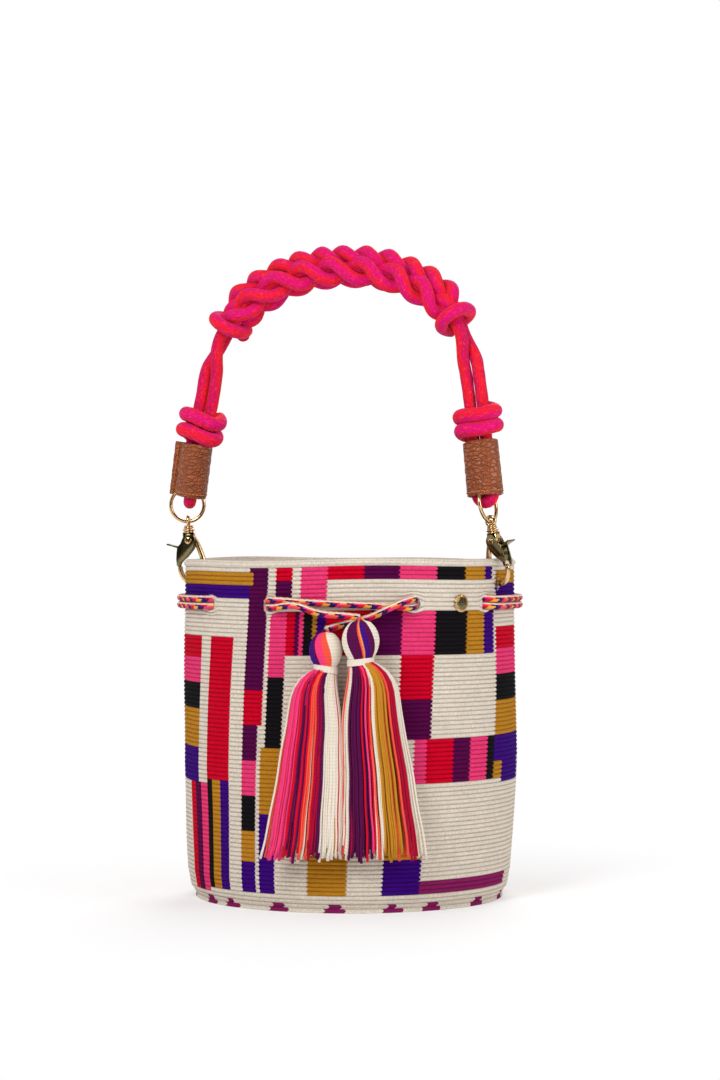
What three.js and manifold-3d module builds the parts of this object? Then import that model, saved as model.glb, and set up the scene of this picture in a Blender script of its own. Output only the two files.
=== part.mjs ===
// A crocheted shoulder bag (wayuu mochila) with a drawstring, two tassels and a short
// rope handle that two snap hooks hold to the wall.
// Millimetres, +Z up, front towards -Y. The origin is the centre of the flat base.
import * as THREE from 'three';
import { mergeVertices } from 'three/addons/utils/BufferGeometryUtils.js';
import Module from 'manifold-3d';

const wasm = await Module();
wasm.setup();

// Clearance between pieces that touch
const GAP = 0.3;

// Crocheted bag
const BAG_HEIGHT = 236;
const BAG_RADIUS = 115.5;
const BASE_RADIUS = 108;
const BASE_EDGE_HEIGHT = 14;
const WALL = 3.2;
const RIDGE_PITCH = 9;
const RIDGE_DEPTH = 0.9;
const BAG_SEGMENTS = 44;

// Drawstring and its eyelets, angles in degrees from the front towards +X
const CORD_DIAMETER = 4.6;
const CORD_BELOW_RIM = 31;
const CORD_HEIGHT = BAG_HEIGHT - CORD_BELOW_RIM;
const LAPS = 2;
const EYELET_ANGLES = [22, 53, 118, 147, 211, 240, 305, 332];
const CROSSING_HALF_ANGLE = 3;
const EYELET_WIDTH = 16;

// Rivet on the wall
const RIVET_ANGLE = 40;
const RIVET_HEIGHT = CORD_HEIGHT;
const RIVET_CAP_DIAMETER = 12;
const RIVET_BACK_DIAMETER = 9;
const RIVET_POST_DIAMETER = 3;
const RIVET_CAP_THICKNESS = 1.8;
const RIVET_BACK_THICKNESS = 1.2;

// Tassels
const TASSEL_SPLIT_X = -4.7;
const TASSELS = [
  { name: 'left', side: -1, headRadius: 10.4, topZ: CORD_HEIGHT - 19, standOff: 12.2, length: 152, spread: 26 },
  { name: 'right', side: 1, headRadius: 11.8, topZ: CORD_HEIGHT - 11, standOff: 18.6, length: 160, spread: 28 },
];
const TASSEL_SKIRT_DEPTH = 8;
const TASSEL_FLUTES = 13;
const BINDING_WIDTH = 4.2;
const BINDING_THICKNESS = 1.6;

// Handle ropes
const CORE_ROPE_DIAMETER = 8.4;
const KNOT_ROPE_DIAMETER = 7.4;
const WRAP_ROPE_DIAMETER = 8.8;
const KNOT_PITCH = 16.4;
const KNOT_HALF_WIDTH = 15.2;
const KNOT_HALF_HEIGHT = 9.3;
const KNOT_HALF_COUNT = 11;
const TWIST_LENGTH = 30;
const TWIST_CLEARANCE = 16;
const WRAP_TURNS = 2;
const WRAP_DISTANCE = 51;
const CORE_STEP = 12.5;
const BEND_DROP = 3.8;

// Hook places on the wall, and the way that each hook, ring and sleeve is turned
const HOOK_HOLE_BELOW_RIM = 18;
const HOOK_HOLE_HEIGHT = BAG_HEIGHT - HOOK_HOLE_BELOW_RIM;
const HOOK_HOLE_DIAMETER = 7.8;
const SIDES = [
  { name: 'left', sign: -1, holeAngle: -100, hookYaw: 170, crossing: 0, ringYaw: -90,
    lean: 3.3, ropeShift: 3.5, innerT: 9.3, innerDepth: 11.0, flange: 5.4, wrapTilt: -10 },
  { name: 'right', sign: 1, holeAngle: 62, hookYaw: -47, crossing: -4.8, ringYaw: -30,
    lean: 11, ropeShift: 0, innerT: 11.0, innerDepth: 8.4, flange: 0, wrapTilt: -5 },
];

// Leather sleeves
const SLEEVE_LENGTH = 38;
const SLEEVE_WALL = 1.5;
const SLEEVE_DROP = 6;

// Rings and snap hooks
const RING_DIAMETER = 26;
const RING_WIRE = 2.5;
const HOOK_WIRE = 3.5;
const PIVOT_HEIGHT = 29;
const SCREW_DIAMETER = 2.4;
const SCREW_HEAD_DIAMETER = 4.2;
const HOOK_SLAB = 4.8;
const PLATE_THICKNESS = 0.9;
const PIN_DIAMETER = 3;
const EYE_WIRE = 2.4;
const SPRING_ROOM = 1.9;
const THUMB_LENGTH = 9;

const CORD_RADIUS = CORD_DIAMETER / 2;
const degrees = THREE.MathUtils.degToRad;
const vector = (x, y, z) => new THREE.Vector3(x, y, z);

// Colours, roughness and metalness of the materials
const FINISHES = {
  beige: [0xd8ccbe, 0.95, 0],
  violet: [0x3c0578, 0.9, 0],
  pink: [0xfa3c78, 0.9, 0],
  cream: [0xe8dccb, 0.95, 0],
  gold: [0xd9b070, 0.25, 1],
  olive: [0x8a7a52, 0.35, 1],
  rope: [0xe61a5f, 0.9, 0],
  redRope: [0xff4a38, 0.9, 0],
  leather: [0x7d4628, 0.7, 0],
};

const bag = new THREE.Group();

function addMesh(parent, name, geometry, finish) {
  const [color, roughness, metalness] = FINISHES[finish];
  const material = new THREE.MeshStandardMaterial({ color, roughness, metalness });
  const mesh = new THREE.Mesh(geometry, material);
  mesh.name = name;
  parent.add(mesh);
  return mesh;
}

// Booleans

function toSolid(geometry) {
  const bare = geometry.index ? geometry.toNonIndexed() : geometry.clone();
  bare.deleteAttribute('normal');
  bare.deleteAttribute('uv');
  const merged = mergeVertices(bare, 1e-4);
  return new wasm.Manifold(new wasm.Mesh({
    numProp: 3,
    vertProperties: new Float32Array(merged.attributes.position.array),
    triVerts: new Uint32Array(merged.index.array),
  }));
}

function toGeometry(solid) {
  const mesh = solid.getMesh();
  const geometry = new THREE.BufferGeometry();
  geometry.setAttribute('position', new THREE.BufferAttribute(new Float32Array(mesh.vertProperties), 3));
  geometry.setIndex(new THREE.BufferAttribute(new Uint32Array(mesh.triVerts), 1));
  geometry.computeVertexNormals();
  return geometry;
}

function combine(added, removed = []) {
  let solid = toSolid(added[0]);
  for (const geometry of added.slice(1)) {
    solid = solid.add(toSolid(geometry));
  }
  for (const geometry of removed) {
    solid = solid.subtract(toSolid(geometry));
  }
  return toGeometry(solid);
}

// Basic shapes

function box(x0, x1, y0, y1, z0, z1) {
  const geometry = new THREE.BoxGeometry(x1 - x0, y1 - y0, z1 - z0);
  return geometry.translate((x0 + x1) / 2, (y0 + y1) / 2, (z0 + z1) / 2);
}

// A profile of [radius, z] pairs turned about Z
function turned(profile, segments) {
  const points = profile.map(([r, z]) => new THREE.Vector2(r, z));
  return new THREE.LatheGeometry(points, segments).rotateX(Math.PI / 2);
}

function cylinderZ(radius, z0, z1, segments = 12) {
  return turned([[0, z0], [radius, z0], [radius, z1], [0, z1]], segments);
}

function cylinderY(radius, y0, y1, segments = 12) {
  return cylinderZ(radius, -y1, -y0, segments).rotateX(Math.PI / 2);
}

function torusZ(middleRadius, wireRadius, segments, sides) {
  const profile = [];
  for (let i = 0; i <= sides; i += 1) {
    const angle = (i / sides) * 2 * Math.PI;
    profile.push([middleRadius + wireRadius * Math.cos(angle), wireRadius * Math.sin(angle)]);
  }
  return turned(profile, segments);
}

// A path whose steps fall exactly on the points that it is given
class KnotPath extends THREE.Curve {
  constructor(points) {
    super();
    this.points = points;
  }

  getPoint(t) {
    const last = this.points.length - 1;
    const place = Math.min(Math.max(t, 0), 1) * last;
    const index = Math.min(Math.floor(place), last - 1);
    return this.points[index].clone().lerp(this.points[index + 1], place - index);
  }

  getPointAt(u) {
    return this.getPoint(u);
  }

  getTangentAt(u) {
    const step = 0.5 / (this.points.length - 1);
    const ahead = this.getPoint(Math.min(u + step, 1));
    return ahead.sub(this.getPoint(Math.max(u - step, 0))).normalize();
  }
}

function roundSection(radius, sides) {
  const section = new THREE.Shape();
  for (let i = 0; i < sides; i += 1) {
    const angle = ((i + 0.5) / sides) * 2 * Math.PI;
    const x = radius * Math.cos(angle);
    const y = radius * Math.sin(angle);
    if (i === 0) {
      section.moveTo(x, y);
    } else {
      section.lineTo(x, y);
    }
  }
  section.closePath();
  return section;
}

function tube(points, radius, sides) {
  return new THREE.ExtrudeGeometry(roundSection(radius, sides), {
    steps: points.length - 1,
    extrudePath: new KnotPath(points),
  });
}

function smooth(points, count) {
  return new THREE.CatmullRomCurve3(points, false, 'centripetal').getSpacedPoints(count);
}

// Places on the bag's wall

// How far the flat facets of the round wall lie inside its circle
const FACET_DEPTH = BAG_RADIUS * (1 - Math.cos(Math.PI / BAG_SEGMENTS));

function wallPoint(angle, standOff, z) {
  const radius = BAG_RADIUS - WALL / 2 + standOff;
  return vector(radius * Math.sin(degrees(angle)), -radius * Math.cos(degrees(angle)), z);
}

// Turns a shape that is made along X so that X points out of the wall at an angle
function onWall(geometry, angle, z) {
  const place = wallPoint(angle, 0, z);
  return geometry.rotateZ(degrees(angle - 90)).translate(place.x, place.y, place.z);
}

// The crocheted bag: a base disc and a wall with a ridge for every third round
function bagBody() {
  const profile = [[0, 0], [BASE_RADIUS - 8, 0], [BASE_RADIUS, 3.5]];
  const ridges = Math.round((BAG_HEIGHT - BASE_EDGE_HEIGHT) / RIDGE_PITCH);
  const pitch = (BAG_HEIGHT - BASE_EDGE_HEIGHT) / ridges;
  const lean = (z) => BAG_RADIUS - 3 * Math.max(0, 1 - z / 70) ** 2;
  for (let i = 0; i < ridges; i += 1) {
    const z = BASE_EDGE_HEIGHT + i * pitch;
    profile.push([lean(z) - RIDGE_DEPTH, z], [lean(z + pitch / 2), z + pitch / 2]);
  }
  const inner = BAG_RADIUS - WALL;
  profile.push([BAG_RADIUS - RIDGE_DEPTH, BAG_HEIGHT - 0.8], [BAG_RADIUS - WALL / 2, BAG_HEIGHT]);
  profile.push([inner + 0.4, BAG_HEIGHT - 0.8], [inner, BAG_HEIGHT - 4], [inner, 70]);
  profile.push([BASE_RADIUS - 1, BASE_EDGE_HEIGHT], [BASE_RADIUS - 10, WALL + 1], [0, WALL]);
  const cuts = EYELET_ANGLES.map((angle) => {
    const height = LAPS * (CORD_DIAMETER + GAP) + GAP;
    const slot = box(-WALL * 2, WALL * 2, -EYELET_WIDTH / 2, EYELET_WIDTH / 2, -height / 2, height / 2);
    return onWall(slot, angle, CORD_HEIGHT);
  });
  for (const side of SIDES) {
    const hole = cylinderZ(HOOK_HOLE_DIAMETER / 2, -WALL * 2, WALL * 2, 10).rotateY(Math.PI / 2);
    cuts.push(onWall(hole, side.holeAngle, HOOK_HOLE_HEIGHT));
  }
  const rivetHole = cylinderZ(RIVET_POST_DIAMETER / 2 + GAP, -WALL * 2, WALL * 2, 8).rotateY(Math.PI / 2);
  cuts.push(onWall(rivetHole, RIVET_ANGLE, RIVET_HEIGHT));
  return combine([turned(profile, BAG_SEGMENTS)], cuts);
}
addMesh(bag, 'bag_body', bagBody(), 'beige');

// Rivet: a domed cap outside, and a washer with the post inside
function rivet() {
  const outside = WALL / 2 + GAP;
  const inside = -WALL / 2 - GAP - FACET_DEPTH;
  const postRadius = RIVET_POST_DIAMETER / 2;
  const capRadius = RIVET_CAP_DIAMETER / 2;
  const backRadius = RIVET_BACK_DIAMETER / 2;
  const postTop = outside + RIVET_CAP_THICKNESS * 0.5;
  const cap = [[0, postTop + GAP], [postRadius + GAP, postTop + GAP], [postRadius + GAP, outside],
    [capRadius, outside], [capRadius, outside + 0.7], [capRadius * 0.7, outside + RIVET_CAP_THICKNESS],
    [0, outside + RIVET_CAP_THICKNESS * 1.1]];
  const back = [[0, inside - RIVET_BACK_THICKNESS], [backRadius, inside - RIVET_BACK_THICKNESS],
    [backRadius, inside], [postRadius, inside], [postRadius, postTop], [0, postTop]];
  for (const [name, profile] of [['rivet_cap', cap], ['rivet_back', back]]) {
    const shape = turned(profile, 16).rotateY(Math.PI / 2);
    addMesh(bag, name, onWall(shape, RIVET_ANGLE, RIVET_HEIGHT), 'gold');
  }
}
rivet();

// Drawstring: two laps through the eyelets, and the two ends that leave at the front
function drawstring() {
  const level = WALL / 2 + CORD_RADIUS + GAP + FACET_DEPTH;
  const points = [];
  const lapHeight = (lap) => CORD_HEIGHT + (lap - (LAPS - 1) / 2) * (CORD_DIAMETER + GAP);
  const insideDip = RIVET_BACK_DIAMETER / 2 + LAPS * CORD_DIAMETER / 2 + 8 * GAP;
  const span = (from, to, standOff, z, dip) => {
    const steps = Math.max(2, Math.ceil((to - from) / 16));
    for (let i = 1; i < steps; i += 1) {
      const angle = from + ((to - from) * i) / steps;
      const lowered = dip ? insideDip * Math.sin((Math.PI * i) / steps) : 0;
      points.push(wallPoint(angle, standOff, z - lowered));
    }
  };
  // From the left tassel, behind the right tassel's head, to the right front eyelet
  points.push(vector(-15, -(BAG_RADIUS + 11), CORD_HEIGHT - 16.4));
  points.push(vector(-8, -(BAG_RADIUS + 5.5), CORD_HEIGHT - 14.5));
  points.push(vector(2, -(BAG_RADIUS + 3.1), CORD_HEIGHT - 12));
  points.push(vector(14, -(BAG_RADIUS + 3), CORD_HEIGHT - 8.5));
  points.push(wallPoint(13, level + CORD_DIAMETER + GAP, CORD_HEIGHT - 2));
  for (let lap = LAPS - 1; lap >= 0; lap -= 1) {
    const z = lapHeight(lap);
    for (let i = 0; i < EYELET_ANGLES.length; i += 1) {
      const inward = i % 2 === 0;
      const standOff = inward ? level : -level;
      const angle = EYELET_ANGLES[i];
      const first = i === 0 && lap === LAPS - 1;
      points.push(wallPoint(angle - CROSSING_HALF_ANGLE, first ? level + 1 : standOff, z));
      points.push(wallPoint(angle + CROSSING_HALF_ANGLE, -standOff, z));
      const next = EYELET_ANGLES[i + 1];
      if (next !== undefined) {
        const overRivet = inward && angle < RIVET_ANGLE && next > RIVET_ANGLE;
        span(angle + CROSSING_HALF_ANGLE, next - CROSSING_HALF_ANGLE, -standOff, z, overRivet);
      }
    }
    if (lap > 0) {
      for (const share of [0.25, 0.5, 0.75]) {
        const angle = EYELET_ANGLES.at(-1) - 360 + (EYELET_ANGLES[0] - EYELET_ANGLES.at(-1) + 360) * share;
        points.push(wallPoint(angle, level, z + (lapHeight(lap - 1) - z) * share));
      }
    }
  }
  // From the left front eyelet over the pass across the front to the right tassel
  points.push(wallPoint(-17, level + CORD_DIAMETER + GAP, CORD_HEIGHT - 1));
  points.push(wallPoint(-9, level + CORD_DIAMETER + 2, CORD_HEIGHT - 6));
  points.push(vector(-3.5, -(BAG_RADIUS + 13.5), CORD_HEIGHT - 7.4));
  points.push(vector(6.5, -(BAG_RADIUS + 16.8), CORD_HEIGHT - 8.4));
  return tube(points, CORD_RADIUS, 8);
}
addMesh(bag, 'drawstring', drawstring(), 'pink');

// Tassels: a round head, a bound neck and a skirt of yarns
function tassel(spec) {
  const { side, headRadius, topZ, standOff, length, spread } = spec;
  const neckZ = -2.2 * headRadius;
  const middleX = TASSEL_SPLIT_X + side * (headRadius + GAP);
  const middleY = -(BAG_RADIUS + standOff);
  const neck = headRadius * 0.78;
  const profile = [[0, 0], [headRadius * 0.55, -1.2], [headRadius * 0.92, -headRadius * 0.6],
    [headRadius, -headRadius * 1.1], [headRadius * 0.93, -headRadius * 1.6], [neck, neckZ + BINDING_WIDTH / 2],
    [neck, neckZ - BINDING_WIDTH / 2], [headRadius, neckZ - BINDING_WIDTH * 1.4],
    [headRadius, -length * 0.4], [headRadius, -length * 0.7], [headRadius, -length], [0, -length]];
  const shape = turned(profile.reverse(), TASSEL_FLUTES * 2);
  const position = shape.attributes.position;
  const point = vector(0, 0, 0);
  for (let i = 0; i < position.count; i += 1) {
    point.fromBufferAttribute(position, i);
    const angle = Math.atan2(point.y, point.x);
    const down = THREE.MathUtils.clamp((neckZ - BINDING_WIDTH - point.z) / (length + neckZ), 0, 1);
    const behind = Math.min(1, down * 2);
    const onNeck = Math.abs(point.z - neckZ) < BINDING_WIDTH;
    const flute = onNeck ? 1 : 1 - 0.035 * (1 - Math.cos(angle * TASSEL_FLUTES));
    const wider = THREE.MathUtils.lerp(1, spread / headRadius, down);
    const flatter = THREE.MathUtils.lerp(1, TASSEL_SKIRT_DEPTH / headRadius, behind);
    const drift = side * headRadius * (wider - 1);
    const back = behind * (standOff - TASSEL_SKIRT_DEPTH - 1.5);
    position.setXYZ(i, point.x * flute * wider + drift, point.y * flute * flatter + back, point.z);
  }
  shape.computeVertexNormals();
  addMesh(bag, `${spec.name}_tassel`, shape.translate(middleX, middleY, topZ), 'violet');
  const inner = neck + GAP;
  const ring = [[inner, -BINDING_WIDTH / 2], [inner + BINDING_THICKNESS, -BINDING_WIDTH / 2],
    [inner + BINDING_THICKNESS, BINDING_WIDTH / 2], [inner, BINDING_WIDTH / 2], [inner, -BINDING_WIDTH / 2]];
  const binding = turned(ring, 20).translate(middleX, middleY, topZ + neckZ);
  addMesh(bag, `${spec.name}_tassel_binding`, binding, 'cream');
}
TASSELS.forEach(tassel);

// The handle stands in one upright plane through the two hook holes.
// In its group, x runs from the left hole to the right one, and -y faces the front.
const holes = SIDES.map((side) => wallPoint(side.holeAngle, 0, 0));
const chord = holes[1].clone().sub(holes[0]);
const chordAngle = Math.atan2(chord.y, chord.x);
const halfChord = chord.length() / 2;
const handle = new THREE.Group();
handle.position.copy(holes[0]).add(holes[1]).multiplyScalar(0.5);
handle.rotation.z = chordAngle;
bag.add(handle);

// Heights along a hook's own axis, counted from the point where it passes the wall
const RING_RADIUS = RING_DIAMETER / 2 - RING_WIRE / 2;
const EYE_CENTRE = PIVOT_HEIGHT + 14;
const RING_CENTRE = EYE_CENTRE + RING_RADIUS - 0.4;

// Where each side's parts lie in the handle's plane
const places = SIDES.map((side) => {
  const yaw = degrees(side.hookYaw) - chordAngle;
  const lean = -degrees(side.lean);
  const up = vector(Math.sin(lean), 0, Math.cos(lean));
  const foot = vector(side.sign * halfChord, 0, HOOK_HOLE_HEIGHT);
  foot.x -= side.crossing * Math.cos(yaw);
  foot.y -= side.crossing * Math.sin(yaw);
  const ringCentre = foot.clone().addScaledVector(up, RING_CENTRE);
  const ringYaw = degrees(side.ringYaw) - chordAngle;
  const sideways = vector(-Math.sin(ringYaw), Math.cos(ringYaw), 0).applyAxisAngle(vector(0, 1, 0), lean);
  const rise = Math.sqrt(RING_RADIUS ** 2 - side.ropeShift ** 2);
  const ringTop = ringCentre.clone().addScaledVector(up, rise).addScaledVector(sideways, side.ropeShift);
  return { ...side, yaw, lean, foot, ringYaw, ringCentre, ringTop };
});
const [leftPlace, rightPlace] = places;

// Middle line of the two core strands, from the left ring over the top to the right one
const LEG_AND_ARCH = [[-107.5, 317], [-101, 345], [-95, 374], [-83, 399], [-59, 420], [-31, 432], [1, 435.5],
  [32, 432], [60, 420], [82, 400], [92, 374], [97, 345], [100, 317]];
const line = new THREE.CatmullRomCurve3([
  leftPlace.ringTop,
  ...LEG_AND_ARCH.map(([x, z]) => vector(x, 0, z)),
  rightPlace.ringTop,
], false, 'centripetal');
line.arcLengthDivisions = 800;
const lineLength = line.getLength();
const knotStart = (lineLength - KNOT_PITCH * KNOT_HALF_COUNT) / 2;

// The two strands lie side by side in the legs, one behind the other in the knotted band,
// and on both sides of the wire at the rings
function turnAt(distance) {
  const onLeft = distance < lineLength / 2;
  const fromEnd = Math.min(distance, lineLength - distance);
  const ringTurn = onLeft ? Math.PI + leftPlace.ringYaw : Math.PI - rightPlace.ringYaw;
  const bandEdge = knotStart - TWIST_CLEARANCE;
  const leg = THREE.MathUtils.smoothstep(fromEnd, 4, SLEEVE_LENGTH - 8);
  const band = THREE.MathUtils.smoothstep(fromEnd, bandEdge - TWIST_LENGTH, bandEdge);
  return THREE.MathUtils.lerp(THREE.MathUtils.lerp(ringTurn, Math.PI, leg), Math.PI / 2, band);
}

function frameAt(distance) {
  const u = THREE.MathUtils.clamp(distance / lineLength, 0, 1);
  const centre = line.getPointAt(u);
  const along = line.getTangentAt(u);
  const outward = vector(-along.z, 0, along.x);
  return { centre, along, outward, depth: vector(0, -1, 0) };
}

const STRANDS_CLOSE = CORE_ROPE_DIAMETER / 2 + GAP;
const STRANDS_WIDE = CORE_ROPE_DIAMETER / 2 + RING_WIRE / 2 + 2 * GAP;

function pairAt(distance) {
  const frame = frameAt(distance);
  const turn = turnAt(distance);
  const across = frame.outward.clone().multiplyScalar(Math.cos(turn));
  across.addScaledVector(frame.depth, Math.sin(turn));
  const fromEnd = Math.min(distance, lineLength - distance);
  const half = THREE.MathUtils.lerp(STRANDS_WIDE, STRANDS_CLOSE, THREE.MathUtils.smoothstep(fromEnd, 2, 18));
  return { ...frame, across, half };
}

// Core rope: one loop through both rings, its two ends sewn together inside the left sleeve
function coreRope() {
  const points = [];
  const strand = (distance, sign) => {
    const { centre, across, half } = pairAt(distance);
    points.push(centre.addScaledVector(across, sign * half));
  };
  const bend = (distance, downwards, sign) => {
    const { centre, across } = pairAt(distance);
    centre.addScaledVector(downwards, BEND_DROP);
    for (let i = 0; i <= 8; i += 1) {
      const angle = (Math.PI * i) / 8;
      const point = centre.clone().addScaledVector(across, sign * STRANDS_WIDE * Math.cos(angle));
      points.push(point.addScaledVector(downwards, STRANDS_WIDE * Math.sin(angle)));
    }
  };
  const steps = Math.round(lineLength / CORE_STEP);
  const join = 2;
  for (let i = join; i <= steps; i += 1) {
    strand((lineLength * i) / steps, 1);
  }
  bend(lineLength, frameAt(lineLength).along, 1);
  for (let i = steps; i >= 0; i -= 1) {
    strand((lineLength * i) / steps, -1);
  }
  bend(0, frameAt(0).along.negate(), -1);
  for (let i = 0; i < join; i += 1) {
    strand((lineLength * i) / steps, 1);
  }
  strand((lineLength * join) / steps - GAP, 1);
  return tube(points, CORE_ROPE_DIAMETER / 2, 8);
}
addMesh(handle, 'core_rope', coreRope(), 'rope');

// Knotting rope: a square-knot band round the core, whose two ends start in one loop.
// One end always passes over the core and the other under it, and they swap sides at each knot.
function knottingRope() {
  const rounded = (x) => x * (1.5 - 0.5 * x * x);
  const place = (across, over, distance) => {
    const frame = frameAt(knotStart + distance);
    const point = frame.centre.addScaledVector(frame.depth, across);
    return point.addScaledVector(frame.outward, over);
  };
  const strand = (turn, sign) => place(
    sign * KNOT_HALF_WIDTH * rounded(Math.cos(turn)),
    -sign * KNOT_HALF_HEIGHT * rounded(Math.cos(2 * turn)),
    (KNOT_PITCH * turn) / Math.PI,
  );
  const stepsPerKnot = 6;
  const last = KNOT_HALF_COUNT * stepsPerKnot;
  const points = [];
  for (let i = last; i >= 0; i -= 1) {
    points.push(strand((Math.PI * i) / stepsPerKnot, 1));
  }
  points.push(place(KNOT_HALF_WIDTH * 0.62, -KNOT_HALF_HEIGHT, -KNOT_PITCH * 0.42));
  for (let i = -stepsPerKnot / 2; i <= last; i += 1) {
    points.push(strand((Math.PI * i) / stepsPerKnot, -1));
  }
  return tube(points, KNOT_ROPE_DIAMETER / 2, 7);
}
addMesh(handle, 'knotting_rope', knottingRope(), 'redRope');

// A mesh that is modelled with X across the two strands and Z along the rope
function placeOnRope(name, geometry, finish, distance) {
  const { centre, along, across } = pairAt(distance);
  const basis = new THREE.Matrix4().makeBasis(across, along.clone().cross(across), along);
  const mesh = addMesh(handle, name, geometry, finish);
  mesh.quaternion.setFromRotationMatrix(basis);
  mesh.position.copy(centre);
}

// Radius of the middle line of a rope that is wound round both strands
const WRAP_RADIUS = (CORE_ROPE_DIAMETER + WRAP_ROPE_DIAMETER) / 2 + 2 * GAP;
const besideStrand = (x) => (Math.abs(x) < 1e-6 ? 0 : Math.sign(x) * STRANDS_CLOSE);

// One ring of rope at each end of the knotted band
function endWrap() {
  const shape = torusZ(WRAP_RADIUS, WRAP_ROPE_DIAMETER / 2, 16, 7);
  const position = shape.attributes.position;
  for (let i = 0; i < position.count; i += 1) {
    position.setX(i, position.getX(i) + besideStrand(position.getX(i)));
  }
  return shape;
}
const END_WRAP_DISTANCE = KNOT_PITCH / 2 + KNOT_ROPE_DIAMETER / 2 + WRAP_ROPE_DIAMETER / 2 + 1.5;
placeOnRope('left_end_wrap', endWrap(), 'redRope', knotStart - END_WRAP_DISTANCE);
placeOnRope('right_end_wrap', endWrap(), 'redRope', lineLength - knotStart + END_WRAP_DISTANCE);

// Two turns of rope round each leg, above the sleeve
function ropeWrap(side) {
  const stepsPerTurn = 12;
  const pitch = WRAP_ROPE_DIAMETER + GAP;
  const slope = Math.tan(degrees(side.wrapTilt));
  const points = [];
  for (let i = 0; i <= WRAP_TURNS * stepsPerTurn - 1; i += 1) {
    const angle = Math.PI / 2 + (2 * Math.PI * i) / stepsPerTurn;
    const round = WRAP_RADIUS * Math.cos(angle);
    const x = round + besideStrand(round);
    const z = pitch * (i / stepsPerTurn - WRAP_TURNS / 2) + x * slope;
    points.push(vector(x, WRAP_RADIUS * Math.sin(angle), z));
  }
  return tube(points, WRAP_ROPE_DIAMETER / 2, 7);
}
for (const side of places) {
  const distance = side === leftPlace ? WRAP_DISTANCE : lineLength - WRAP_DISTANCE;
  placeOnRope(`${side.name}_rope_wrap`, ropeWrap(side), 'redRope', distance);
}

// Leather sleeves over the sewn strands, with a slot for the ring, and a seam flange on the left one
function sleeve(side) {
  const outline = new THREE.Shape();
  outline.absellipse(0, 0, side.innerT + SLEEVE_WALL, side.innerDepth + SLEEVE_WALL, 0, 2 * Math.PI);
  const hollow = new THREE.Shape();
  hollow.absellipse(0, 0, side.innerT, side.innerDepth, 0, 2 * Math.PI);
  const options = { depth: SLEEVE_LENGTH, bevelEnabled: false, curveSegments: 12 };
  const shell = new THREE.ExtrudeGeometry(outline, options);
  const core = new THREE.ExtrudeGeometry(hollow, { ...options, depth: SLEEVE_LENGTH + 2 }).translate(0, 0, -1);
  const added = [shell];
  if (side.flange > 0) {
    const edge = -side.innerT - SLEEVE_WALL;
    added.push(box(edge - side.flange, edge + 1.2, -SLEEVE_WALL, SLEEVE_WALL, 0, SLEEVE_LENGTH));
  }
  const end = side === leftPlace ? 0 : lineLength;
  const inside = side === leftPlace ? 30 : lineLength - 30;
  const axis = frameAt(inside).centre.sub(side.ringTop).normalize();
  const base = frameAt(end).centre.addScaledVector(axis, -SLEEVE_DROP);
  const turn = new THREE.Quaternion().setFromUnitVectors(vector(0, 0, 1), axis);
  const slot = cylinderZ(RING_DIAMETER / 2 + 2 * GAP, -RING_WIRE / 2 - GAP, RING_WIRE / 2 + GAP, 28);
  slot.rotateY(Math.PI / 2).rotateZ(side.ringYaw).rotateY(side.lean);
  const centre = side.ringCentre.clone().sub(base).applyQuaternion(turn.clone().invert());
  slot.applyQuaternion(turn.clone().invert()).translate(centre.x, centre.y, centre.z);
  const mesh = addMesh(handle, `${side.name}_sleeve`, combine(added, [core, slot]), 'leather');
  mesh.quaternion.copy(turn);
  mesh.position.copy(base);
}
places.forEach(sleeve);

// Snap hook, modelled in its own plane: x away from the bag, z up, the pivot at the origin
const PLATE_INNER = HOOK_SLAB / 2 + GAP;
const COLLAR_TOP = 8.2;
const HOOK_OUTLINE = [[7.5, -17], [7.4, -20.5], [6, -24.5], [3.2, -27.8], [-0.5, -29], [-4.5, -28],
  [-8, -25], [-9.6, -20], [-9.3, -14], [-7.6, -8], [-5.4, -2], [-2.6, 2.5]];

function hookBody() {
  const slab = new THREE.Shape();
  slab.absarc(0, 0, 4.2, Math.PI, 2 * Math.PI);
  slab.lineTo(4.2, COLLAR_TOP - 2);
  slab.lineTo(-4.2, COLLAR_TOP - 2);
  slab.closePath();
  const plate = new THREE.ExtrudeGeometry(slab, { depth: HOOK_SLAB, bevelEnabled: false, curveSegments: 8 });
  plate.rotateX(Math.PI / 2).translate(0, HOOK_SLAB / 2, 0);
  const wire = tube(smooth(HOOK_OUTLINE.map(([x, z]) => vector(x, 0, z)), 20), HOOK_WIRE / 2, 7);
  const collar = cylinderZ(4.3, COLLAR_TOP - 2.2, COLLAR_TOP, 14);
  const springSlot = box(-3.4, 6, -SPRING_ROOM / 2, SPRING_ROOM / 2, -6, 3.2);
  const pinPocket = box(-3, 3, -5, 5, 4, 5.8);
  const pinBore = cylinderZ(PIN_DIAMETER / 2 + GAP, 4.5, COLLAR_TOP + 1, 10);
  const screwBore = cylinderY(SCREW_DIAMETER / 2 + GAP, -5, 5, 10);
  return combine([plate, wire, collar], [springSlot, pinPocket, pinBore, screwBore]);
}

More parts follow.
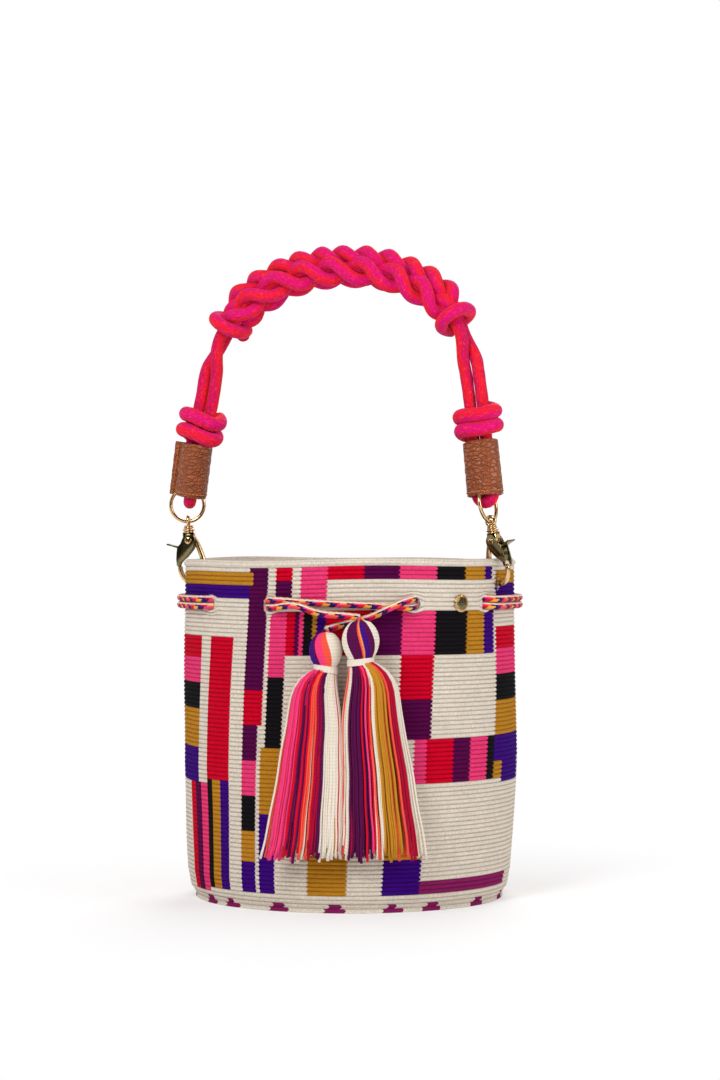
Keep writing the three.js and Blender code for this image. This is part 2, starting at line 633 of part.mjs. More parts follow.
function trigger() {
  const outline = new THREE.Shape();
  outline.moveTo(7.6, -18.4);
  outline.lineTo(6.9, -15.6);
  outline.lineTo(2.1, -11.5);
  outline.lineTo(-3.2, -5.6);
  outline.absarc(0, 0, 4.9, degrees(220), degrees(60), true);
  outline.lineTo(5.9, -1.9);
  outline.lineTo(8.3, -4);
  outline.lineTo(9.2, -17.4);
  outline.closePath();
  const cheek = new THREE.ExtrudeGeometry(outline, {
    depth: PLATE_THICKNESS, bevelEnabled: false, curveSegments: 10,
  }).rotateX(Math.PI / 2);
  const outer = PLATE_INNER + PLATE_THICKNESS;
  const front = cheek.clone().translate(0, -PLATE_INNER, 0);
  const back = cheek.clone().translate(0, outer, 0);
  const web = box(7.3, 8.5, -outer + 0.2, outer - 0.2, -14.6, -4.2);
  const thumb = box(0, THUMB_LENGTH, -outer + 0.2, outer - 0.2, -0.65, 0.65).rotateY(degrees(-18));
  thumb.translate(7.6, 0, -4.4);
  const bore = cylinderY(SCREW_DIAMETER / 2 + GAP, -6, 6, 10);
  return combine([front, back, web, thumb], [bore]);
}

function screw() {
  const outer = PLATE_INNER + PLATE_THICKNESS + GAP;
  const shank = SCREW_DIAMETER / 2;
  const head = SCREW_HEAD_DIAMETER / 2;
  const profile = [[0, -outer - 0.9], [head * 0.7, -outer - 0.9], [head, -outer - 0.3], [head, -outer],
    [shank, -outer], [shank, outer], [head, outer], [head, outer + 0.3], [head * 0.7, outer + 0.9],
    [0, outer + 0.9]];
  return turned(profile, 10).rotateX(-Math.PI / 2);
}

// A few turns of thin wire round the screw, in the slot of the hook body
function triggerSpring() {
  const wire = 0.5;
  const middle = SCREW_DIAMETER / 2 + GAP + wire / 2;
  const turns = 2.25;
  const steps = 20;
  const points = [];
  for (let i = 0; i <= steps; i += 1) {
    const angle = (2 * Math.PI * turns * i) / steps;
    const y = (wire + 0.15) * (turns * (i / steps) - turns / 2);
    points.push(vector(middle * Math.cos(angle), y, middle * Math.sin(angle)));
  }
  return tube(points, wire / 2, 4);
}

function swivelEye() {
  const ringHole = RING_WIRE / 2 + 2 * GAP;
  const loop = torusZ(ringHole + EYE_WIRE / 2, EYE_WIRE / 2, 14, 6).rotateX(Math.PI / 2);
  loop.translate(0, 0, EYE_CENTRE);
  const collarTop = EYE_CENTRE - ringHole - EYE_WIRE * 0.6;
  const collar = cylinderZ(3.6, PIVOT_HEIGHT + COLLAR_TOP + GAP, collarTop, 14);
  const pin = cylinderZ(PIN_DIAMETER / 2, PIVOT_HEIGHT + 4.5, collarTop - 0.5, 10);
  const pinHead = cylinderZ(2.3, PIVOT_HEIGHT + 4.3, PIVOT_HEIGHT + 5.5, 10);
  return combine([loop, collar, pin, pinHead]);
}

function snapHook(side) {
  const chain = new THREE.Group();
  chain.position.copy(side.foot);
  chain.rotation.y = side.lean;
  handle.add(chain);
  const hook = new THREE.Group();
  hook.position.z = PIVOT_HEIGHT;
  hook.rotation.z = side.yaw;
  chain.add(hook);
  addMesh(hook, `${side.name}_hook`, hookBody(), 'gold');
  addMesh(hook, `${side.name}_trigger`, trigger(), 'olive');
  addMesh(hook, `${side.name}_trigger_screw`, screw(), 'gold');
  addMesh(hook, `${side.name}_trigger_spring`, triggerSpring(), 'gold');
  const ringTurn = new THREE.Group();
  ringTurn.rotation.z = side.ringYaw;
  chain.add(ringTurn);
  addMesh(ringTurn, `${side.name}_swivel_eye`, swivelEye(), 'gold');
  const ring = torusZ(RING_RADIUS, RING_WIRE / 2, 24, 6).rotateY(Math.PI / 2);
  addMesh(ringTurn, `${side.name}_ring`, ring, 'gold').position.z = RING_CENTRE;
}
places.forEach(snapHook);

export default bag;
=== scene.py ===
"""Looks of the crocheted shoulder bag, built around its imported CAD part."""

import math

import bpy
import numpy as np
from mathutils import Matrix, Vector


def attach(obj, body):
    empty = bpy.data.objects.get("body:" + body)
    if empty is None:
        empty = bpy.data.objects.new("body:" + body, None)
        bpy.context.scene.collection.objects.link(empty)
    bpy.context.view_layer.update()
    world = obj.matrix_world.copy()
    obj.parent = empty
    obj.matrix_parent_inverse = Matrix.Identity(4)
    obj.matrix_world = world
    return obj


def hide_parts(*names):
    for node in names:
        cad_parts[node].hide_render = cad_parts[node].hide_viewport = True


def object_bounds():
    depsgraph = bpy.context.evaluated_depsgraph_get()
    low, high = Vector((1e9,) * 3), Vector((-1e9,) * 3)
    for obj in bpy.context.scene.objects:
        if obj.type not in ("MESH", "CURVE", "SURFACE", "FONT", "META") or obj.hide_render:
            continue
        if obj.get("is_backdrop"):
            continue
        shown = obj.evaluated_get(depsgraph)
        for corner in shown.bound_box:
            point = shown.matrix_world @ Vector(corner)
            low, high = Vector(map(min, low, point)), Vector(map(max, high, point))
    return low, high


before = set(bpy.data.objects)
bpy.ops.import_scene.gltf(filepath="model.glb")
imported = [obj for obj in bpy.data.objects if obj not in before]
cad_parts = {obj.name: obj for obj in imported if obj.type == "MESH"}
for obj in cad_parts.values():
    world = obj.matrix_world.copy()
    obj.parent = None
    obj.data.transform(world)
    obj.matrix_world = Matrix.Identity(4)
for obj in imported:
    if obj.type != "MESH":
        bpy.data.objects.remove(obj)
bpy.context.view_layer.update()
scene = bpy.context.scene
scene.view_settings.view_transform = "Standard"
MM = 0.001
UP = np.array((0.0, 0.0, 1.0))


# Shapes. Every shape is made in millimetres in the frame of the part.

def unit(v):
    v = np.asarray(v, dtype=float)
    return v / np.linalg.norm(v)


def smoothstep(x, low, high):
    t = np.clip((x - low) / (high - low), 0, 1)
    return t * t * (3 - 2 * t)


def wave(*values):
    """A smooth value from -1 to 1 that looks random, the same on each run."""
    total = 0
    for i, v in enumerate(values):
        total = total + np.sin(v * (1.7 + 0.9 * i) + 2.1 * i)
        total = total + np.sin(v * (4.3 + 1.3 * i) + 0.7 + i)
    return total / (2 * len(values))


def piece(name, verts, faces, materials, body, face_materials=None, uv=None):
    """Makes a mesh object from points in millimetres, and lets it ride on a body."""
    mesh = bpy.data.meshes.new(name)
    mesh.from_pydata((np.asarray(verts, dtype=float) * MM).tolist(), [], [list(f) for f in faces])
    for material in materials:
        mesh.materials.append(material)
    if face_materials is not None:
        mesh.polygons.foreach_set("material_index", np.asarray(face_materials, dtype=np.int32))
    if uv is not None:
        layer = mesh.uv_layers.new(name="surface")
        layer.data.foreach_set("uv", np.asarray(uv, dtype=np.float32).ravel())
    mesh.polygons.foreach_set("use_smooth", [True] * len(mesh.polygons))
    mesh.update()
    obj = bpy.data.objects.new(name, mesh)
    scene.collection.objects.link(obj)
    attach(obj, body)
    return obj


def grid(rows, cols, closed_rows=False, closed_cols=True):
    """Faces and UV corners of a grid of points, row after row."""
    r = np.arange(rows if closed_rows else rows - 1)
    c = np.arange(cols if closed_cols else cols - 1)
    rr, cc = np.meshgrid(r, c, indexing="ij")
    r2, c2 = (rr + 1) % rows, (cc + 1) % cols
    faces = np.stack([rr * cols + cc, rr * cols + c2, r2 * cols + c2, r2 * cols + cc], axis=-1)
    corners = np.stack([
        np.stack([cc, rr], -1), np.stack([cc + 1, rr], -1),
        np.stack([cc + 1, rr + 1], -1), np.stack([cc, rr + 1], -1)], axis=2)
    return faces.reshape(-1, 4), corners.reshape(-1, 4, 2).astype(float)


def spaced(points, step):
    """A smooth centripetal Catmull-Rom line through points, with even steps."""
    p = np.asarray(points, dtype=float)
    p = np.vstack([2 * p[0] - p[1], p, 2 * p[-1] - p[-2]])
    out = []
    for i in range(1, len(p) - 2):
        p0, p1, p2, p3 = p[i - 1], p[i], p[i + 1], p[i + 2]
        t0 = 0.0
        t1 = t0 + math.sqrt(np.linalg.norm(p1 - p0))
        t2 = t1 + math.sqrt(np.linalg.norm(p2 - p1))
        t3 = t2 + math.sqrt(np.linalg.norm(p3 - p2))
        t = np.linspace(t1, t2, 24, endpoint=False)[:, None]
        a1 = (t1 - t) / (t1 - t0) * p0 + (t - t0) / (t1 - t0) * p1
        a2 = (t2 - t) / (t2 - t1) * p1 + (t - t1) / (t2 - t1) * p2
        a3 = (t3 - t) / (t3 - t2) * p2 + (t - t2) / (t3 - t2) * p3
        b1 = (t2 - t) / (t2 - t0) * a1 + (t - t0) / (t2 - t0) * a2
        b2 = (t3 - t) / (t3 - t1) * a2 + (t - t1) / (t3 - t1) * a3
        out.append((t2 - t) / (t2 - t1) * b1 + (t - t1) / (t2 - t1) * b2)
    out.append(p[-2][None])
    return evened(np.vstack(out), step)


def evened(line, step):
    lengths = np.r_[0, np.cumsum(np.linalg.norm(np.diff(line, axis=0), axis=1))]
    count = max(2, int(round(lengths[-1] / step)) + 1)
    at = np.linspace(0, lengths[-1], count)
    return np.stack([np.interp(at, lengths, line[:, k]) for k in range(3)], axis=1)


def along_line(line):
    tangent = np.gradient(line, axis=0)
    return tangent / np.linalg.norm(tangent, axis=1)[:, None]


def carried(line, first):
    """Side directions that turn with a line as little as they can."""
    tangent = along_line(line)
    side = unit(np.cross(np.cross(tangent[0], first), tangent[0]))
    sides = [side]
    for t in tangent[1:]:
        side = unit(side - np.dot(side, t) * t)
        sides.append(side)
    return np.array(sides)


def tube(line, radius, sides=12, first=None, reference=None, radii=None, closed=False):
    """Points, faces and UV corners of a tube. u goes round once, v is the distance in millimetres.

    radii, where given, holds a radius for each point of each ring.
    """
    line = np.asarray(line, dtype=float)
    tangent = along_line(line)
    if closed:
        tangent = np.roll(line, -1, 0) - np.roll(line, 1, 0)
        tangent = tangent / np.linalg.norm(tangent, axis=1)[:, None]
    if reference is None:
        side = carried(line, UP if first is None else first)
    else:
        side = np.broadcast_to(reference, line.shape)
        side = side - np.sum(side * tangent, axis=1)[:, None] * tangent
        side = side / np.linalg.norm(side, axis=1)[:, None]
    other = np.cross(tangent, side)
    angle = np.arange(sides) / sides * 2 * math.pi
    rows = len(line)
    if radii is None:
        radius = np.broadcast_to(np.asarray(radius, dtype=float), (rows,))
        radii = radius[:, None] * np.ones(sides)[None, :]
    verts = line[:, None, :] + radii[:, :, None] * (
        np.cos(angle)[None, :, None] * side[:, None, :] + np.sin(angle)[None, :, None] * other[:, None, :])
    faces, corners = grid(rows, sides, closed_rows=closed)
    distance = np.r_[0, np.cumsum(np.linalg.norm(np.diff(line, axis=0), axis=1))]
    distance = np.r_[distance, distance[-1] + np.linalg.norm(line[-1] - line[0])]
    uv = corners.copy()
    uv[..., 0] = corners[..., 0] / sides
    uv[..., 1] = distance[corners[..., 1].astype(int)]
    return verts.reshape(-1, 3), faces, uv


def capped(verts, faces, uv, sides):
    """Closes both ends of a tube with a fan."""
    count = len(verts)
    first, last = verts[:sides].mean(0), verts[-sides:].mean(0)
    verts = np.vstack([verts, first, last])
    ring = np.arange(sides)
    start = [[count, (i + 1) % sides, i] for i in ring]
    end = [[count + 1, count - sides + i, count - sides + (i + 1) % sides] for i in ring]
    faces = [list(f) for f in faces] + start + end
    flat_uv = [list(map(tuple, c)) for c in uv]
    low, high = uv[0][0][1], uv[-1][2][1]
    flat_uv += [[(0.5, low)] * 3 for _ in ring] + [[(0.5, high)] * 3 for _ in ring]
    return verts, faces, flat_uv


class Soup:
    """Collects shapes into one mesh."""

    def __init__(self):
        self.verts, self.faces, self.uv, self.mats = [], [], [], []
        self.count = 0

    def add(self, verts, faces, uv=None, material=0):
        self.verts.append(np.asarray(verts, dtype=float))
        for f in faces:
            self.faces.append([int(i) + self.count for i in f])
        if uv is None:
            uv = [[(0.0, 0.0)] * len(f) for f in faces]
        for corners in uv:
            self.uv.extend((float(a), float(b)) for a, b in corners)
        if isinstance(material, int):
            self.mats += [material] * len(faces)
        else:
            self.mats += [int(m) for m in material]
        self.count += len(verts)

    def tube(self, line, radius, sides=8, material=0, first=None, reference=None):
        shape = capped(*tube(line, radius, sides, first, reference), sides)
        self.add(*shape, material)

    def turned(self, profile, segments, place=None, material=0, flip=False):
        """A profile of (radius, height) turned about Z, then put in its place by a 4x4 matrix."""
        angle = np.arange(segments) / segments * 2 * math.pi
        verts = [[r * math.cos(a), r * math.sin(a), z] for r, z in profile for a in angle]
        faces, corners = grid(len(profile), segments)
        corners[..., 0] /= segments
        if flip:
            faces = faces[:, ::-1]
        self.placed(verts, faces, place, corners, material)

    def placed(self, verts, faces, place, uv=None, material=0):
        verts = np.asarray(verts, dtype=float)
        if place is not None:
            matrix = np.array(place)
            verts = verts @ matrix[:3, :3].T + matrix[:3, 3]
        self.add(verts, faces, uv, material)

    def piece(self, name, materials, body, slot):
        return piece(name, np.vstack(self.verts), self.faces, materials, body, self.mats, self.uv)


# Materials

def node(tree, kind, inputs=None, **attributes):
    made = tree.nodes.new("ShaderNode" + kind)
    for key, value in attributes.items():
        setattr(made, key, value)
    for key, value in (inputs or {}).items():
        if isinstance(value, bpy.types.NodeSocket):
            tree.links.new(value, made.inputs[key])
        else:
            made.inputs[key].default_value = value
    return made


def calc(tree, operation, a, b=0.0, c=0.0):
    return node(tree, "Math", {0: a, 1: b, 2: c}, operation=operation).outputs[0]


def ramp(tree, value, low, high, to_low=0.0, to_high=1.0):
    inputs = {"Value": value, "From Min": low, "From Max": high, "To Min": to_low, "To Max": to_high}
    return node(tree, "MapRange", inputs, interpolation_type="SMOOTHSTEP").outputs[0]


def blend_colour(tree, factor, a, b):
    return node(tree, "Mix", {0: factor, 6: a, 7: b}, data_type="RGBA").outputs[2]


def noise(tree, place, scale, detail=2.0, rough=0.5):
    inputs = {"Vector": place, "Scale": scale, "Detail": detail, "Roughness": rough}
    return node(tree, "TexNoise", inputs).outputs[0]


def linear(colour):
    """A colour as picked, 0 to 255, for a shader."""
    out = []
    for c in colour:
        c = c / 255
        out.append(c / 12.92 if c <= 0.04045 else ((c + 0.055) / 1.055) ** 2.4)
    return (*out, 1.0)


def shade(colour, factor):
    return (*[min(1.0, c * factor) for c in colour[:3]], 1.0)


def new_material(name, **sockets):
    material = bpy.data.materials.new(name)
    material.use_nodes = True
    tree = material.node_tree
    shader = tree.nodes["Principled BSDF"]
    for socket, value in sockets.items():
        shader.inputs[socket.replace("_", " ")].default_value = value
    return material, tree, shader


def finish_material(tree, shader, colour, height=None, depth=0.0004, strength=1.0, roughness=None):
    tree.links.new(colour, shader.inputs["Base Color"])
    if height is not None:
        bump = node(tree, "Bump", {"Strength": strength, "Distance": depth, "Height": height})
        tree.links.new(bump.outputs[0], shader.inputs["Normal"])
    if roughness is not None:
        tree.links.new(roughness, shader.inputs["Roughness"])


def surface(tree):
    """The surface coordinates: along and across, from the mesh's own map, and its place."""
    uv = node(tree, "UVMap", uv_map="surface").outputs[0]
    parts = node(tree, "SeparateXYZ", {0: uv})
    place = node(tree, "TexCoord").outputs["Object"]
    return parts.outputs[0], parts.outputs[1], place


def crochet_material(name, colour, contrast=1.0):
    """Cotton yarn in crochet rounds, with painted shade in the grooves between rounds, in the gaps between
    stitches and along the twist of the plies. One unit of u is a stitch, one unit of v is a round.
    """
    material, tree, shader = new_material(name, Roughness=0.95, Specular_IOR_Level=0.06)
    u, v, place = surface(tree)
    round_edge = calc(tree, "ABSOLUTE", calc(tree, "SUBTRACT", calc(tree, "FRACT", v), 0.5))
    stitch_edge = calc(tree, "ABSOLUTE", calc(tree, "SUBTRACT", calc(tree, "FRACT", u), 0.5))
    fuzz = noise(tree, place, 1400, 3.0, 0.65)
    patch = noise(tree, place, 60, 2.0)
    lump = noise(tree, place, 420, 2.0, 0.6)
    wobble = calc(tree, "MULTIPLY_ADD", lump, 0.30, 0.16)
    groove = ramp(tree, round_edge, wobble, 0.5)
    spot = calc(tree, "MULTIPLY", ramp(tree, stitch_edge, 0.3, 0.5), ramp(tree, round_edge, 0.18, 0.42))
    spot = calc(tree, "MULTIPLY", spot, ramp(tree, noise(tree, place, 210, 1.0), 0.42, 0.62))
    slant = calc(tree, "ADD", calc(tree, "MULTIPLY", u, 2.0), calc(tree, "MULTIPLY", v, 1.3))
    ply = calc(tree, "SINE", calc(tree, "MULTIPLY", slant, 2 * math.pi))
    # Painted shade: the grooves between rounds and the gaps between stitches are darkened towards shadowed,
    # the colour at 30 %. The same mask also sinks the bump.
    groove_shade = calc(tree, "MAXIMUM", calc(tree, "MULTIPLY", groove, 0.62), calc(tree, "MULTIPLY", spot, 0.75))
    groove_shade = calc(tree, "MULTIPLY", groove_shade, contrast)
    light = blend_colour(tree, ramp(tree, fuzz, 0.25, 0.75), shade(colour, 0.72), shade(colour, 1.18))
    light = blend_colour(tree, ramp(tree, lump, 0.3, 0.75, 0.0, 0.35), light, shade(colour, 0.62))
    light = blend_colour(tree, ramp(tree, patch, 0.35, 0.7, 0.0, 0.2), light, shade(colour, 0.7))
    shadowed = shade(colour, 0.30)
    tint = blend_colour(tree, groove_shade, light, shadowed)
    # Painted shade along the twist of the plies: a slanted sine darkens the colour towards 60 %.
    tint = blend_colour(tree, ramp(tree, ply, -0.2, 1.0, 0.0, 0.16 * contrast), tint, shade(colour, 0.6))
    height = calc(tree, "ADD", calc(tree, "MULTIPLY", ply, 0.30), calc(tree, "MULTIPLY", fuzz, 0.8))
    height = calc(tree, "ADD", height, calc(tree, "MULTIPLY", lump, 0.9))
    height = calc(tree, "SUBTRACT", height, calc(tree, "MULTIPLY", groove_shade, 1.1))
    finish_material(tree, shader, tint, height, 0.00055, 0.8)
    return material


def yarn_material(name, colour, twist=0.45, shine=0.04):
    """A spun yarn: two plies that wind along it, with painted shade in the grooves between them. u goes
    round, v is the distance in millimetres.
    """
    material, tree, shader = new_material(name, Roughness=0.85, Specular_IOR_Level=0.12,
                                          Sheen_Weight=shine, Sheen_Roughness=0.4)
    u, v, place = surface(tree)
    turn = calc(tree, "ADD", calc(tree, "MULTIPLY", u, 2.0), calc(tree, "MULTIPLY", v, twist))
    ply = calc(tree, "ABSOLUTE", calc(tree, "SINE", calc(tree, "MULTIPLY", turn, math.pi)))
    fuzz = noise(tree, place, 2200, 3.0, 0.6)
    tint = blend_colour(tree, fuzz, shade(colour, 0.78), shade(colour, 1.22))
    # Painted shade: the grooves between the two plies are darkened towards 40 % of the colour.
    tint = blend_colour(tree, ramp(tree, ply, 0.0, 0.45, 0.45, 0.0), tint, shade(colour, 0.4))
    height = calc(tree, "ADD", calc(tree, "MULTIPLY", ramp(tree, ply, 0, 0.6), 0.8),
                  calc(tree, "MULTIPLY", fuzz, 0.4))
    finish_material(tree, shader, tint, height, 0.0003, 0.8)
    return material


BEIGE = linear((234, 221, 205))
RED = linear((214, 0, 40))
PINK = linear((250, 62, 122))
PLUM = linear((88, 6, 70))
VIOLET = linear((62, 6, 126))
BLACK = linear((22, 20, 23))
GOLD = linear((196, 134, 36))
MAGENTA = linear((142, 32, 96))
CREAM = linear((232, 220, 204))
CORAL = linear((246, 84, 62))
ORANGE = linear((250, 150, 70))
NAVY = linear((40, 18, 92))
TAN = linear((205, 150, 100))

CROCHET = {
    "beige": crochet_material("crochet_beige", BEIGE, 1.0),
    "red": crochet_material("crochet_red", RED),
    "pink": crochet_material("crochet_pink", PINK),
    "plum": crochet_material("crochet_plum", PLUM),
    "violet": crochet_material("crochet_violet", VIOLET),
    "black": crochet_material("crochet_black", BLACK),
    "gold": crochet_material("crochet_gold", GOLD),
    "magenta": crochet_material("crochet_magenta", MAGENTA),
}
COLOURS = list(CROCHET)


# Camera, light and floor

camera = bpy.data.objects.new("camera", bpy.data.cameras.new("camera"))
camera.data.lens = 92.8
camera.data.sensor_width = 36
camera.location = (0.007, -1.95, 0.244)
camera.rotation_euler = (math.radians(90.1), 0, 0)
scene.collection.objects.link(camera)
scene.camera = camera


def lamp(name, place, target, size, power):
    data = bpy.data.lights.new(name, "AREA")
    data.shape = "DISK"
    data.size = size
    data.energy = power
    obj = bpy.data.objects.new(name, data)
    obj.location = place
    obj.rotation_euler = (Vector(target) - Vector(place)).to_track_quat("-Z", "Y").to_euler()
    scene.collection.objects.link(obj)


lamp("key", (-0.9, -1.7, 1.5), (0, 0, 0.2), 0.8, 24)
lamp("fill", (1.5, -1.2, 0.8), (0, 0, 0.2), 1.0, 11)
lamp("back", (0.3, 1.6, 1.4), (0, 0, 0.2), 1.0, 16)

world = bpy.data.worlds.new("studio")
scene.world = world
world.use_nodes = True
tree = world.node_tree
seen = node(tree, "LightPath")
direction = node(tree, "SeparateXYZ", {0: node(tree, "TexCoord").outputs["Generated"]})
stripes = calc(tree, "SINE", calc(tree, "MULTIPLY", direction.outputs[0], 11.0))
room = calc(tree, "MULTIPLY", ramp(tree, direction.outputs[1], -0.9, 0.1, 0.12, 1.0),
            ramp(tree, stripes, -0.6, 0.5, 0.25, 1.0))
level = calc(tree, "MAXIMUM", seen.outputs["Is Camera Ray"], seen.outputs["Is Transmission Ray"])
glossy = calc(tree, "MULTIPLY", seen.outputs["Is Glossy Ray"], room)
diffuse = calc(tree, "SUBTRACT", 1.0, calc(tree, "MAXIMUM", level, seen.outputs["Is Glossy Ray"]))
level = calc(tree, "ADD", calc(tree, "ADD", level, glossy), calc(tree, "MULTIPLY", diffuse, 0.62))
tree.links.new(level, tree.nodes["Background"].inputs["Strength"])
tree.nodes["Background"].inputs["Color"].default_value = (1, 1, 1, 1)

floor_material, tree, shader = new_material("floor", Roughness=0.9, Specular_IOR_Level=0.0)
shader.inputs["Base Color"].default_value = (0.93, 0.93, 0.93, 1)
white = node(tree, "Emission", {"Color": (1, 1, 1, 1), "Strength": 1.0})
place = node(tree, "SeparateXYZ", {0: node(tree, "TexCoord").outputs["Object"]})
far = calc(tree, "SQRT", calc(tree, "ADD", calc(tree, "POWER", calc(tree, "ABSOLUTE", place.outputs[0]), 2.0),
                              calc(tree, "POWER", calc(tree, "ABSOLUTE", place.outputs[1]), 2.0)))
seen = node(tree, "LightPath").outputs["Is Camera Ray"]
plain = calc(tree, "MULTIPLY", ramp(tree, far, 0.13, 0.42, 0.35, 1.0), seen)
mixed = node(tree, "MixShader", {0: plain, 1: shader.outputs[0], 2: white.outputs[0]})
tree.links.new(mixed.outputs[0], tree.nodes["Material Output"].inputs["Surface"])
bpy.ops.mesh.primitive_plane_add(size=8)
floor = bpy.context.object
floor.name = "floor"
floor.data.materials.append(floor_material)
floor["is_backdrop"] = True


# Drawstring: the route of the CAD cord, with the pattern of its braid

def wall_point(angle, stand_off, z):
    a = math.radians(angle)
    r = 113.9 + stand_off
    return (r * math.sin(a), -r * math.cos(a), z)


CORD_HEIGHT = 205
LAP_STEP = 4.9
EYELETS = [22, 53, 118, 147, 211, 240, 305, 332]
LEVEL = 4.494


def drawstring_route():
    points = [(-15, -126.5, 188.6), (-8, -121, 190.5), (2, -118.6, 193), (14, -118.5, 196.5)]
    points.append(wall_point(13, LEVEL + LAP_STEP, 203))
    for lap in (1, 0):
        z = CORD_HEIGHT + (lap - 0.5) * LAP_STEP
        for i, angle in enumerate(EYELETS):
            side = LEVEL if i % 2 == 0 else -LEVEL
            points.append(wall_point(angle - 3, LEVEL + 1 if i == 0 and lap else side, z))
            points.append(wall_point(angle + 3, -side, z))
            if i + 1 < len(EYELETS):
                start, end = angle + 3, EYELETS[i + 1] - 3
                steps = max(2, math.ceil((end - start) / 16))
                for k in range(1, steps):
                    dip = 11.5 * math.sin(math.pi * k / steps) if i == 0 else 0
                    points.append(wall_point(start + (end - start) * k / steps, -side, z - dip))
        if lap:
            for share in (0.25, 0.5, 0.75):
                points.append(wall_point(-28 + 50 * share, LEVEL, z - LAP_STEP * share))
    points += [wall_point(-17, LEVEL + LAP_STEP, 204), wall_point(-9, LEVEL + 6.6, 199)]
    return points + [(-3.5, -129, 197.6), (6.5, -132.3, 196.6)]


cord_line = spaced(drawstring_route(), 0.9)
cord_colours = ["navy", "coral", "orange", "pink", "cream", "tan", "red"]
cord_materials = [yarn_material("cord_" + n, c, twist=0.9) for n, c in zip(
    cord_colours, [NAVY, CORAL, linear((244, 166, 66)), PINK, CREAM, TAN, linear((206, 20, 62))])]
SIDES = 14
outward = cord_line * (1, 1, 0)
outward = outward / np.linalg.norm(outward, axis=1)[:, None]
index = np.arange(len(cord_line))[:, None]
around = np.arange(SIDES)[None, :]
braid = 2.3 + 0.16 * np.sin(2 * math.pi * (index / 5 + around / 3.5))
verts, faces, uv = tube(cord_line, 1.0, SIDES, reference=outward, radii=braid)
mats = []
for k in range(len(faces)):
    row, col = divmod(k, SIDES)
    if col in (10, 12):
        mats.append(4)
    elif col == 11:
        mats.append(5)
    else:
        mats.append([0, 6, 2, 0, 3, 1][int(row / 5 + col / 3.5) % 6])
verts, faces, uv = capped(verts, faces, uv, SIDES)
drawstring = piece("drawstring_braid", verts, faces, cord_materials, "bag",
                   mats + [4] * (2 * SIDES), [c for f in uv for c in f])
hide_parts("drawstring")


# Crocheted bag. Blocks of colour: from and to in degrees, from and to in rounds, colour.
# Degrees count from the front towards the right. Every column drifts as the rounds go down.
WALL_TOP = 233.0
ROUNDS = 79
STITCHES = 240
DRIFT = 0.063


def beside(edges, bottom, top, names):
    """Blocks side by side."""
    return [(a, b, bottom, top, name) for a, b, name in zip(edges, edges[1:], names.split())]


def stacked(left, right, levels, names):
    """Blocks from the top down."""
    return [(left, right, b, a, name) for a, b, name in zip(levels, levels[1:], names.split())]


BLOCKS = [
    *stacked(-93, -34, (77, 74), "gold"), *stacked(-93, -36, (74, 71), "violet"),
    *stacked(-89, -60, (62, 57, 51, 45, 36, 28), "red pink black gold violet"),
    (-54, -41.5, 29, 62, "red"),
    *beside((-67, -62.3, -58.6, -54), 3, 28, "red plum pink"),
    *beside((-54, -50, -46, -41.8), 4, 29, "black gold violet"),
    (-36, -28, 50, 78, "plum"), (-36, -28.6, 42, 50, "red"),
    *stacked(-36, -29, (42, 34, 26), "plum pink"),
    (-36, -29.4, 18, 26, "black"), (-36, -29.6, 11, 18, "gold"), (-36, -29.8, 4, 11, "violet"),
    *stacked(-25.6, -18.7, (78, 75, 71), "red plum"), (-15.5, -6.7, 70, 78, "pink"),
    (-26.5, -20.2, 53, 68, "pink"), (-27, -20.6, 37, 53, "black"), (-28.2, -21.2, 22, 37, "gold"),
    (-28.6, -22.2, 4, 22, "violet"),
    *beside((-20.2, -17.8, -16, -14, -12.2, -9.7, -7.4, 7.5), 58, 68, "red plum pink black gold violet red"),
    *beside((-6.8, 5, 17.4, 30.2, 42.5, 53, 58), 75, 78, "red plum pink black gold violet"),
    *beside((7.5, 17.8, 31, 43.3, 53.5, 58.6), 58, 68, "plum pink black gold violet"),
    *stacked(17.8, 31, (58, 48, 39), "red plum"),
    *stacked(60, 92, (77, 74, 71), "gold violet"),
    *stacked(61, 90, (64, 59, 53, 47, 39, 33), "red pink black gold violet"),
    *beside((24.6, 29.4, 39, 47.5, 55.5, 61, 66.5), 29, 39, "pink red plum pink black gold"),
    (66.5, 86, 28, 39, "violet"), (28.5, 75, 4, 7, "magenta"),
    *stacked(16, 29.3, (15, 12, 4), "gold violet"), (-9.7, 3.6, 4, 13, "gold"),
    # The back goes on with blocks of the same kinds
    (98, 112, 29, 62, "red"), *stacked(118, 125, (78, 50, 34, 18, 4), "plum pink black violet"),
    *stacked(129, 136, (78, 53, 37, 22, 4), "red plum gold violet"),
    *beside((140, 153, 166, 179, 192, 205), 58, 68, "red pink black gold violet"),
    (166, 179, 40, 58, "red"),
    *beside((140, 150, 163, 176, 190, 204), 75, 78, "plum pink gold red violet"),
    *beside((145, 155, 165, 175, 185, 195, 205), 29, 39, "violet gold black pink plum red"),
    (150, 163, 4, 13, "gold"), (176, 189, 4, 15, "plum"),
    *stacked(212, 219, (78, 53, 37, 22, 4), "violet pink black red"),
    (226, 238, 29, 62, "plum"),
    *beside((244, 248, 252, 256, 260), 4, 28, "gold black pink red"),
    *stacked(243, 262, (62, 50, 36), "red gold"),
    (98, 112, 4, 20, "gold"), (223, 240, 73, 76, "gold"),
]
TRIANGLES = [-56, -43, -21, 0, 20, 36, 58, 80, 102, 124, 146, 168, 190, 212, 234, 256, 278]
PROFILE = [(0, 100), (2.5, 106.5), (8, 110.2), (20, 112.4), (44, 113.8), (93, 115.9), (142, 115.6),
           (198, 114.7), (228, 114.8), (WALL_TOP, 115.2)]
INSIDE = [(14, 107), (44, 111), (93, 112.2), (WALL_TOP, 112.0)]
HOOK_HEIGHT = 218.0
